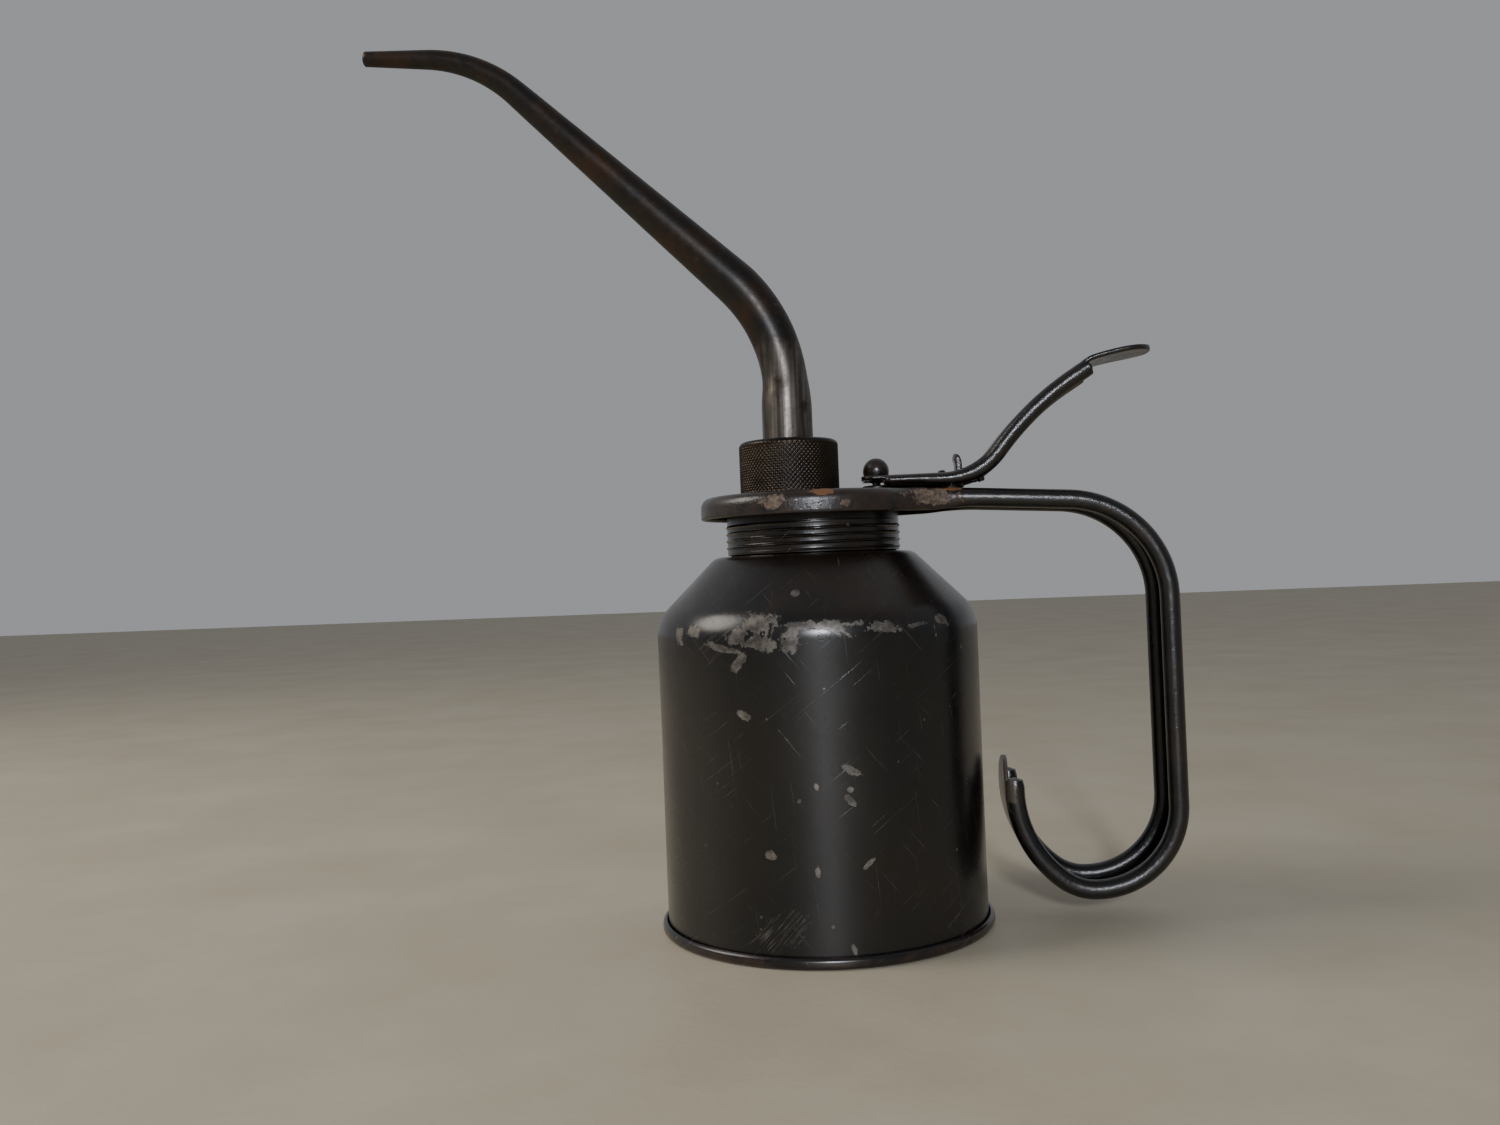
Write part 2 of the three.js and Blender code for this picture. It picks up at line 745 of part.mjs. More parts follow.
function ball(radius, z, axisX) {
  const geometry = new THREE.SphereGeometry(radius, SMALL, 8);
  geometry.rotateX(Math.PI / 2);
  geometry.translate(axisX, 0, z);
  return closed(geometry);
}

function inletBall() {
  const seat = barrelFoot - GAP - seatDepth;
  return ball(inletBallRadius, seat + Math.sqrt(inletBallRadius ** 2 - seatBore ** 2) + ballLift, pumpX);
}

function glandNut() {
  const headFootZ = plateTop + GAP;
  return turned([
    [rodRadius + GAP, packingSeat + packingHeight + 2 * GAP],
    [barrelRadius - 0.2, packingSeat + packingHeight + 2 * GAP],
    [barrelRadius - 0.2, headFootZ],
    [glandHeadRadius, headFootZ],
    [glandHeadRadius, headFootZ + glandHeadHeight - 0.3],
    [glandHeadRadius - 0.4, headFootZ + glandHeadHeight],
    [rodRadius + GAP, headFootZ + glandHeadHeight],
    [rodRadius + GAP, packingSeat + packingHeight + 2 * GAP],
  ], SMALL, pumpX);
}

const glandPacking = () => ring(
  rodRadius + GAP,
  barrelRadius - 0.2,
  packingSeat + GAP,
  packingSeat + packingHeight + GAP,
  SMALL,
  pumpX,
);

// ---------------------------------------------------------------- plunger

const pistonTop = barrelFoot + pistonRise;
const pistonFoot = pistonTop - pistonHeight;

const plungerRod = () => rod(rodRadius, pistonTop - pistonSocket + GAP, ballZ + 0.2, SMALL, pumpX);

const ballKnob = () => cut(
  ball(ballRadius, ballZ, pumpX),
  rod(rodRadius + GAP, ballZ - 5, ballZ + 0.5, SMALL, pumpX),
);

// A short brass piston: a socket for the rod on top, a spigot below that carries the cup.
function piston() {
  return turned([
    [0, pistonFoot - spigotLength],
    [spigotRadius, pistonFoot - spigotLength],
    [spigotRadius, pistonFoot],
    [pistonRadius, pistonFoot],
    [pistonRadius, pistonTop],
    [rodRadius + GAP / 2, pistonTop],
    [rodRadius + GAP / 2, pistonTop - pistonSocket],
    [0, pistonTop - pistonSocket],
  ], SMALL, pumpX);
}

const cupFoot = pistonFoot - 0.2 - cupHeight;

const pistonCup = () => ring(spigotRadius + 0.25, cupRadius, cupFoot, cupFoot + cupHeight, SMALL, pumpX);

const pistonNut = () => ring(
  spigotRadius + 0.25, pistonNutRadius, cupFoot - 0.2 - pistonNutHeight, cupFoot - 0.2, 6, pumpX);

const pumpSpring = () => ring(
  rodRadius + GAP / 2, pistonRadius, pistonTop + GAP, barrelTop - GAP, SMALL, pumpX);

// ---------------------------------------------------------------- outlet and spout

const outletSeat = channelZ + outletSeatRise;
const outletBallZ = outletSeat + Math.sqrt(outletBallRadius ** 2 - outletSeatBore ** 2) + ballLift;

const outletBall = () => ball(outletBallRadius, outletBallZ, spoutX);

const springStep = outletBallZ + outletBallRadius + outletSpringRoom;

const outletSpring = () => ring(
  springBore - 1.1,
  springBore - 0.5,
  outletBallZ + outletBallRadius + GAP,
  springStep - GAP,
  SMALL,
  spoutX,
);

function spoutBoss() {
  const foot = headTop - bossSocket;
  return turned([
    [springBore, foot],
    [bossStem, foot],
    [bossStem, bossFoot],
    [bossRadius, bossFoot],
    [bossRadius, bossTop - bossEdge],
    [bossRadius - bossEdge, bossTop],
    [bossBore, bossTop],
    [bossBore, springStep],
    [springBore, springStep],
    [springBore, foot],
  ], MEDIUM, spoutX);
}

const washerTop = bossTop + GAP + washerThickness;
const nutFoot = plateTop + nutClearance;
const nutTop = nutFoot + nutHeight;

const spoutWasher = () => ring(washerBore, bossRadius - GAP, bossTop + GAP, washerTop, MEDIUM, spoutX);

const spoutFerrule = () => ring(
  spoutFootRadius + GAP, bossRadius - GAP, washerTop + GAP, nutTop - nutWall - GAP, MEDIUM, spoutX);

function spoutNut() {
  return turned([
    [bossRadius + GAP, nutFoot],
    [nutRadius - 0.5, nutFoot],
    [nutRadius, nutFoot + 0.5],
    ...arcPoints(nutRadius - nutEdge, nutTop - nutEdge, nutEdge, 0, 90 * DEG, 3),
    [spoutFootRadius + 2 * GAP, nutTop],
    [spoutFootRadius + 2 * GAP, nutTop - nutWall],
    [bossRadius + GAP, nutTop - nutWall],
    [bossRadius + GAP, nutFoot],
  ], FINE, spoutX);
}

function spoutPath() {
  const foot = washerTop + GAP + 0.1;
  return new BentPath(spoutX, foot, Math.PI / 2)
    .line(spoutRise)
    .arc(spoutBend, spoutBendTurn)
    .line(spoutRun)
    .arc(spoutTopBend, spoutTopTurn)
    .line(spoutTip);
}

// Outer radius of the spout along its length: a wider foot, a plain tube, then an even taper.
function spoutRadiusAt(distance, length) {
  if (distance <= spoutFootEnd) return spoutFootRadius;
  if (distance <= spoutFootBlend) {
    const share = (distance - spoutFootEnd) / (spoutFootBlend - spoutFootEnd);
    return spoutFootRadius + (spoutRadius - spoutFootRadius) * share;
  }
  if (distance <= spoutTaperStart) return spoutRadius;
  const share = (distance - spoutTaperStart) / (length - spoutTaperStart);
  return spoutRadius + (spoutTipRadius - spoutRadius) * share;
}

function spoutTube() {
  const path = spoutPath();
  const section = new THREE.Shape();
  section.absarc(0, 0, 1, 0, 2 * Math.PI, false);
  const bore = new THREE.Path();
  bore.absarc(0, 0, 0.5, 0, 2 * Math.PI, true);
  section.holes.push(bore);
  const form = (u, w, distance) => {
    const outer = spoutRadiusAt(distance, path.length);
    const scale = Math.hypot(u, w) > 0.75 ? outer : 2 * (outer - spoutWall);
    return [u * scale, w * scale];
  };
  const marks = path.stations(0, path.length, [spoutFootEnd, spoutFootBlend, spoutTaperStart]);
  return swept(section, path, marks, form, 16);
}

// ---------------------------------------------------------------- materials and assembly

const finishes = {
  japan_black: { color: 0x16171a, metalness: 0.1, roughness: 0.25 },
  worn_black: { color: 0x241f1c, metalness: 0.2, roughness: 0.35 },
  bronze_brown: { color: 0x3b3128, metalness: 0.7, roughness: 0.45 },
  aged_steel: { color: 0x2b2825, metalness: 0.7, roughness: 0.4 },
  pump_brass: { color: 0x9a7b3c, metalness: 0.9, roughness: 0.35 },
  bright_steel: { color: 0x8c8c8c, metalness: 1, roughness: 0.3 },
  gasket_fibre: { color: 0x5b2f22, metalness: 0, roughness: 0.9 },
  cup_leather: { color: 0x6b4a2b, metalness: 0, roughness: 0.8 },
};

const pieces = {
  can_body: [canBody, 'japan_black'],
  base_plate: [basePlate, 'japan_black'],
  screw_cap: [screwCap, 'japan_black'],
  cap_gasket: [capGasket, 'gasket_fibre'],
  handle_plate: [handlePlate, 'worn_black'],
  fulcrum_hook: [fulcrumHook, 'worn_black'],
  fulcrum_rivet: [fulcrumRivet, 'worn_black'],
  thumb_lever: [thumbLever, 'worn_black'],
  pump_head: [pumpHead, 'pump_brass'],
  head_gasket: [headGasket, 'gasket_fibre'],
  pump_barrel: [pumpBarrel, 'pump_brass'],
  inlet_seat: [inletSeat, 'pump_brass'],
  suction_tube: [suctionTube, 'pump_brass'],
  inlet_ball: [inletBall, 'bright_steel'],
  gland_nut: [glandNut, 'aged_steel'],
  gland_packing: [glandPacking, 'gasket_fibre'],
  plunger_rod: [plungerRod, 'bright_steel'],
  ball_knob: [ballKnob, 'worn_black'],
  piston: [piston, 'pump_brass'],
  piston_cup: [pistonCup, 'cup_leather'],
  piston_nut: [pistonNut, 'pump_brass'],
  pump_spring: [pumpSpring, 'bright_steel'],
  outlet_ball: [outletBall, 'bright_steel'],
  outlet_spring: [outletSpring, 'bright_steel'],
  spout_boss: [spoutBoss, 'pump_brass'],
  spout_washer: [spoutWasher, 'gasket_fibre'],
  spout_ferrule: [spoutFerrule, 'aged_steel'],
  spout_nut: [spoutNut, 'bronze_brown'],
  spout_tube: [spoutTube, 'aged_steel'],
};

const oiler = new THREE.Group();
for (const [name, [build, finish]] of Object.entries(pieces)) {
  const mesh = new THREE.Mesh(build(), new THREE.MeshStandardMaterial(finishes[finish]));
  mesh.name = name;
  oiler.add(mesh);
}

export default oiler;
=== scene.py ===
"""Thumb-pump oil can: the finished look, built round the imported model. Lengths in millimetres until a
piece is made, then metres."""

import functools
import math

import bmesh
import bpy
import numpy as np
from mathutils import Matrix, Vector, noise
from mathutils.geometry import tessellate_polygon


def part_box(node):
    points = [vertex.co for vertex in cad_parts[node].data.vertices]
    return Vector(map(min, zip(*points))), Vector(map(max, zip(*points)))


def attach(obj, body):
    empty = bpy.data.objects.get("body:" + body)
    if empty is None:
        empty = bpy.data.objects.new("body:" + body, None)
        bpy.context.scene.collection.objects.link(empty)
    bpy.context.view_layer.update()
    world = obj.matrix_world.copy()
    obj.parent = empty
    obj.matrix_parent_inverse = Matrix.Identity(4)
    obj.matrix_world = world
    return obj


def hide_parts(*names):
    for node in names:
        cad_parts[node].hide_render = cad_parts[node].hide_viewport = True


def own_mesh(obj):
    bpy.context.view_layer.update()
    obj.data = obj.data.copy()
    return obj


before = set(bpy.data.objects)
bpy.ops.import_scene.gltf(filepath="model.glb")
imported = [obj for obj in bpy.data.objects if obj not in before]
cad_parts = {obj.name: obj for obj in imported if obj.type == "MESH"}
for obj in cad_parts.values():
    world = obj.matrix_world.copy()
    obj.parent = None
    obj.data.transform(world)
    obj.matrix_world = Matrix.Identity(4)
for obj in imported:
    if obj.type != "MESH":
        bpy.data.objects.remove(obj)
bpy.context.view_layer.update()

MM = 0.001
DEG = math.pi / 180
TURN = 2 * math.pi


def box(node):
    """Lowest and highest corner of a CAD node, in millimetres."""
    low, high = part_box(node)
    return low / MM, high / MM


# -------------------- sizes

CAN_HIGH = box("can_body")[1]
BASE_HIGH = box("base_plate")[1]
CAP_LOW, CAP_HIGH = box("screw_cap")
PLATE_LOW, PLATE_HIGH = box("handle_plate")
LEVER_LOW = box("thumb_lever")[0]
HOOK_LOW, HOOK_HIGH = box("fulcrum_hook")
RIVET_LOW, RIVET_HIGH = box("fulcrum_rivet")
BALL_LOW, BALL_HIGH = box("ball_knob")
NUT_LOW, NUT_HIGH = box("spout_nut")
SPOUT_LOW = box("spout_tube")[0]
GLAND_LOW, GLAND_HIGH = box("gland_nut")

GAP = 0.3  # between pieces that touch
CAN_RADIUS = CAN_HIGH.x
CAN_WALL = 0.5
SIDE_TOP = 68.75  # where the straight side ends
SHOULDER = 9.3  # radius between the side and the cone
CONE_TOP_RADIUS = 23.9
CAN_FLAT = CAP_LOW.z - GAP  # flat ring around the neck
NECK_RADIUS = CAP_HIGH.x - 1.3

PLATE_TOP = PLATE_HIGH.z
PLATE_RADIUS = -PLATE_LOW.x
SHEET = 1.0
RIM_HEIGHT = 5.2  # of the plate's turned-down rim
RIM_EDGE = 2.4  # its radius at the top
FILLET = 18.0  # between the plate and the strip of the grip
GRIP_BEAD = 2.2
GRIP_HALF = 7.7 + GRIP_BEAD  # half width over the rolled edges
WEB_INSET = 2.3  # the flat web runs this far under the rolled edge

LEVER_BEAD = 1.95
LEVER_HALF = 6.8 + LEVER_BEAD
LEVER_SHEET = 1.2

PUMP_X = (BALL_LOW.x + BALL_HIGH.x) / 2
SPOUT_X = (NUT_LOW.x + NUT_HIGH.x) / 2
SPOUT_HOLE = 5.2
ROD_HOLE = 2.65


# -------------------- mesh helpers


class Shape:
    """Points and faces of one piece."""

    def __init__(self):
        self.points = []
        self.faces = []

    def grid(self, rows, ring=False, loop=False, ends=False):
        """Rows of points joined by quads. ring closes each row, loop joins the last row to the first,
        and ends closes the first and last row with a face."""
        rows = np.asarray(rows, float)
        count, width = rows.shape[:2]
        first = len(self.points)
        self.points.extend(map(tuple, rows.reshape(-1, 3)))
        for i in range(count if loop else count - 1):
            here = first + i * width
            there = first + (i + 1) % count * width
            for j in range(width if ring else width - 1):
                k = (j + 1) % width
                self.faces.append((here + j, here + k, there + k, there + j))
        if ends:
            last = first + (count - 1) * width
            self.faces.append(tuple(range(first + width - 1, first - 1, -1)))
            self.faces.append(tuple(range(last, last + width)))
        return self

    def sheet(self, loops, top, foot):
        """A flat plate between two heights, with walls round the holes. The first loop is the outside."""
        flat = [Vector((x, y, 0)) for loop in loops for x, y in loop]
        triangles = tessellate_polygon([[Vector((x, y, 0)) for x, y in loop] for loop in loops])
        first = len(self.points)
        self.points.extend((p.x, p.y, top) for p in flat)
        self.points.extend((p.x, p.y, foot) for p in flat)
        for a, b, c in triangles:
            self.faces.append((first + a, first + b, first + c))
            self.faces.append((first + len(flat) + c, first + len(flat) + b, first + len(flat) + a))
        start = first
        for loop in loops:
            for i in range(len(loop)):
                a, b = start + i, start + (i + 1) % len(loop)
                self.faces.append((a, b, b + len(flat), a + len(flat)))
            start += len(loop)
        return self


def circle(radius, count, x=0.0):
    angles = [TURN * i / count for i in range(count)]
    return [(x + radius * math.cos(a), radius * math.sin(a)) for a in angles]


def softened(profile, radius, steps=4):
    """A polyline whose corners are rounded."""
    points = [np.array(p, float) for p in profile]
    out = [points[0]]
    for before, here, after in zip(points, points[1:], points[2:]):
        back, on = before - here, after - here
        reach = min(radius, 0.45 * np.linalg.norm(back), 0.45 * np.linalg.norm(on))
        start = here + back / np.linalg.norm(back) * reach
        end = here + on / np.linalg.norm(on) * reach
        for i in range(steps + 1):
            t = i / steps
            out.append((1 - t) ** 2 * start + 2 * t * (1 - t) * here + t * t * end)
    out.append(points[-1])
    return out


def turned(profile, count, x=0.0, wobble=None):
    """Rows for a body turned about a vertical axis. wobble moves a point in or out."""
    angles = np.arange(count) * TURN / count
    rows = []
    for radius, z in profile:
        radii = np.full(count, float(radius))
        if wobble is not None:
            radii = radii + np.array([wobble(a, z) for a in angles])
        rows.append(np.stack([x + radii * np.cos(angles), radii * np.sin(angles), np.full(count, z)], 1))
    return rows


class BentPath:
    """Straight runs and arcs in the XZ plane, measured by length."""

    def __init__(self, x, z, heading=0.0):
        self.parts = []
        self.end = (x, z, heading)
        self.length = 0.0

    def run(self, length, curve=0.0):
        self.parts.append((self.length, length, curve, *self.end))
        self.length += length
        self.end = self.at(self.length)
        return self

    def bend(self, radius, turn):
        return self.run(radius * abs(turn), math.copysign(1 / radius, turn))

    def at(self, distance):
        passed = [part for part in self.parts if part[0] <= distance + 1e-9]
        start, _, curve, x, z, heading = passed[-1] if passed else self.parts[0]
        step = distance - start
        turned_to = heading + step * curve
        if curve == 0:
            return x + step * math.cos(heading), z + step * math.sin(heading), heading
        return (
            x + (math.sin(turned_to) - math.sin(heading)) / curve,
            z - (math.cos(turned_to) - math.cos(heading)) / curve,
            turned_to,
        )

    def place(self, distance, across, up):
        """A point of a flat pattern laid on the path."""
        x, z, heading = self.at(distance)
        return x - up * math.sin(heading), across, z + up * math.cos(heading)

    def stations(self, start, stop, bend_step=3 * DEG, longest=2.5):
        marks = {start, stop}
        for begin, length, curve, *_ in self.parts:
            pieces = max(1, math.ceil(abs(length * curve) / bend_step), math.ceil(length / longest))
            marks.update(begin + length * i / pieces for i in range(pieces + 1))
        inside = sorted(m for m in marks if start <= m <= stop)
        return [m for i, m in enumerate(inside) if i == 0 or m - inside[i - 1] > 0.05]


def blend(a, b, share):
    return a + (b - a) * share


def ramp(value, low, high):
    """0 below low, 1 above high, smooth between."""
    t = min(1.0, max(0.0, (value - low) / (high - low)))
    return t * t * (3 - 2 * t)


def lump(shape, centre, size, seed, amount=0.35):
    """A blob of hardened oil and dirt."""
    ball = bmesh.new()
    bmesh.ops.create_icosphere(ball, subdivisions=3, radius=1)
    first = len(shape.points)
    for vert in ball.verts:
        rough = 1 + amount * noise.noise(vert.co * 1.7 + Vector((seed, seed, seed)))
        shape.points.append(tuple(centre[i] + vert.co[i] * size[i] * rough for i in range(3)))
    shape.faces.extend(tuple(first + v.index for v in face.verts) for face in ball.faces)
    ball.free()


def piece(name, shape, body, material, replaced=(), sharp=38):
    """Makes the mesh object in metres and ties it to its body. Edges over sharp degrees stay crisp."""
    mesh = bpy.data.meshes.new(name)
    mesh.from_pydata([tuple(MM * c for c in p) for p in shape.points], [], shape.faces)
    work = bmesh.new()
    work.from_mesh(mesh)
    bmesh.ops.remove_doubles(work, verts=work.verts, dist=1e-7)
    bmesh.ops.recalc_face_normals(work, faces=work.faces)
    work.to_mesh(mesh)
    work.free()
    mesh.shade_smooth()
    mesh.set_sharp_from_angle(angle=sharp * DEG)
    made = bpy.data.objects.new(name, mesh)
    bpy.context.scene.collection.objects.link(made)
    mesh.materials.append(material)
    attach(made, body)
    if replaced:
        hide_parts(*replaced)
    return made


# -------------------- course of the grip

GRIP_START = 30.0  # beyond this the flat pattern is bent
TAB = 4.8  # flat end of the strip, past its rolled edges
grip_path = (
    BentPath(GRIP_START, PLATE_TOP)
    .run(0.5)
    .bend(20, -3.6 * DEG)
    .run(27.25)
    .bend(25.1, (3.6 + 0.15 - 90) * DEG)
    .run(46.9)
    .bend(21.2, -90.15 * DEG)
    .bend(14.2, -38 * DEG)
    .bend(28, -51 * DEG)
    .run(2.8)
    .bend(TAB / (9 * DEG), -9 * DEG)
)
TAB_END = GRIP_START + grip_path.length
BEAD_END = TAB_END - TAB + 0.6
TAB_X, TAB_Z, _ = grip_path.at(grip_path.length - TAB)

# -------------------- material helpers


def colour(code):
    """An sRGB hex colour as linear values."""
    parts = [int(code[i : i + 2], 16) / 255 for i in (1, 3, 5)]
    return tuple(c / 12.92 if c <= 0.04045 else ((c + 0.055) / 1.055) ** 2.4 for c in parts) + (1.0,)


def add_node(tree, kind, inputs=None, **settings):
    """Adds a shader node with its settings and its inputs: values, or the nodes they are linked to."""
    node = tree.nodes.new("ShaderNode" + kind)
    for name, value in settings.items():
        setattr(node, name, value)
    for key, value in (inputs or {}).items():
        if isinstance(value, bpy.types.Node):
            value = next(output for output in value.outputs if output.enabled)
        if isinstance(value, bpy.types.NodeSocket):
            tree.links.new(value, node.inputs[key])
        else:
            node.inputs[key].default_value = value
    return node


def new_material(name):
    """An empty material, the function that adds a node to it, and a point's place and X, Y, Z."""
    material = bpy.data.materials.new(name)
    material.use_nodes = True
    material.node_tree.nodes.clear()
    add = functools.partial(add_node, material.node_tree)
    place = add("TexCoord").outputs["Object"]
    return material, add, place, add("SeparateXYZ", {"Vector": place}).outputs


def per_mm(size):
    """Texture scale whose features are this many millimetres across."""
    return 1 / (size * MM)


def finish(add, surface, height, depth, fixed=None):
    """The shader and the output. height is the relief and depth its size in millimetres."""
    normal = add("Bump", {"Height": height, "Distance": depth * MM, "Strength": 0.7})
    shader = add("BsdfPrincipled", {**surface, "Normal": normal, "Coat Normal": normal, **(fixed or {})})
    add("OutputMaterial", {"Surface": shader})


def blotches(add, place, size, low, high, detail=4.0, rough=0.6, warp=0.0):
    """Cloudy patches about this many millimetres across: 1 inside them, 0 between them."""
    cloud = add("TexNoise", {"Vector": place, "Scale": per_mm(size), "Detail": detail,
                             "Roughness": rough, "Distortion": warp})
    return add("MapRange", {0: cloud, 1: low, 2: high})


def painted(add, base, *coats):
    """Colours laid over a base, each with the mask where it shows."""
    for mask, coat in coats:
        over = colour(coat) if isinstance(coat, str) else coat
        base = add("Mix", {0: mask, 6: base, 7: over}, data_type="RGBA")
    return base


def anywhere(add, *masks):
    """The places where any of these masks shows."""
    result = masks[0]
    for mask in masks[1:]:
        result = add("Math", {0: result, 1: mask}, operation="MAXIMUM")
    return result


def spots(add, place, axes, rag, raggedness, shapes):
    """Ragged ellipses on the side that faces -Y: x, z, half width, half height, and the angle by which
    the long axis falls to the right. Millimetres and degrees."""
    found = []
    for x, z, half_width, half_height, fall in shapes:
        local = add(
            "Mapping",
            {"Vector": place, "Location": (x * MM, 0, z * MM), "Rotation": (0, fall * DEG, 0),
             "Scale": (half_width * MM, 1, half_height * MM)},
            vector_type="TEXTURE",
        )
        reach = add("VectorMath", {0: local}, operation="LENGTH")
        torn = add("Math", {0: rag, 1: raggedness, 2: reach}, operation="MULTIPLY_ADD")
        found.append(add("MapRange", {0: torn, 1: 1.06 + raggedness / 2, 2: 0.94 + raggedness / 2}))
    front = add("MapRange", {0: axes["Y"], 1: 0, 2: -2 * MM})
    return add("Math", {0: anywhere(add, *found), 1: front}, operation="MULTIPLY")


def streaks(add, place, fall, long, thin, low, high):
    """Fine scratches that run one way, seen from the side. fall is the angle to the right and down."""
    along = add(
        "Mapping",
        {"Vector": place, "Rotation": (0, fall * DEG, 0), "Scale": (long * MM, 9 * MM, thin * MM)},
        vector_type="TEXTURE",
    )
    lines = add("TexNoise", {"Vector": along, "Scale": 1, "Detail": 2, "Distortion": 0.15})
    return add("MapRange", {0: lines, 1: low, 2: high})


def flecks(add, place, cell, least, most):
    """At most one small spot in each cell of a size in millimetres. least is how rare they are, and
    most the largest spot's share of its cell."""
    bend = add("TexNoise", {"Vector": place, "Scale": per_mm(cell / 4), "Detail": 3}).outputs["Color"]
    bend = add("VectorMath", {0: bend, "Scale": cell * 0.16 * MM}, operation="SCALE")
    bent_place = add("VectorMath", {0: place, 1: bend}, operation="ADD")
    cells = add("TexVoronoi", {"Vector": bent_place, "Scale": per_mm(cell)})
    chance = add("SeparateColor", {"Color": cells.outputs["Color"]})
    size = add("MapRange", {0: chance, 1: least, 2: 1, 3: -0.05, 4: most})
    inside = add("Math", {0: size, 1: cells.outputs["Distance"]}, operation="SUBTRACT")
    return add("MapRange", {0: inside, 1: 0, 2: 0.02})


# -------------------- materials

# Worn places on the front: x, z, half width, half height, fall of the long axis
SHOULDER_CHIPS = [
    (-10.8, 72.2, 3.4, 2.1, 0),
    (-15.2, 69.8, 2.5, 1.3, -20),
    (-10.6, 68.3, 3.3, 1.4, 5),
    (-19.2, 67.3, 3.3, 0.7, 15),
    (-15.0, 64.3, 2.5, 0.8, -45),
    (-25.4, 70.8, 1.6, 1.2, 0),
    (-29.3, 69.8, 0.8, 1.7, 0),
    (-4.0, 69.0, 2.1, 2.2, 0),
    (2.4, 71.5, 7.4, 0.9, 0),
    (15.4, 70.5, 3.3, 1.2, 5),
    (22.8, 70.7, 2.2, 0.5, -8),
    (28.0, 71.4, 1.4, 0.9, 0),
]
SIDE_FLAKES = [
    (-14.5, 53.0, 1.6, 0.9, 30),
    (7.7, 41.2, 2.4, 0.8, 30),
    (7.2, 35.0, 1.8, 0.7, 50),
    (7.4, 37.2, 0.7, 0.6, 0),
    (-9.8, 23.7, 1.2, 0.9, 0),
    (0.0, 20.3, 0.6, 1.2, 0),
    (10.6, 21.5, 1.7, 0.5, -40),
    (0.4, 38.0, 0.5, 0.8, 0),
    (-2.8, 78.4, 1.0, 0.7, 0),
    (7.0, 3.9, 0.5, 1.3, -20),
]
SCRUBBED = [(-7.6, 8.0, 5.4, 3.6, -35)]
RIM_CHIPS = [
    (-7.8, 98.4, 3.0, 1.3, 0),
    (8.2, 97.6, 1.1, 0.8, 0),
    (27.4, 98.9, 5.4, 1.8, 4),
]
RIM_RUST = [(3.9, 100.2, 2.4, 0.7, 0), (32.6, 100.4, 1.8, 0.5, 0)]


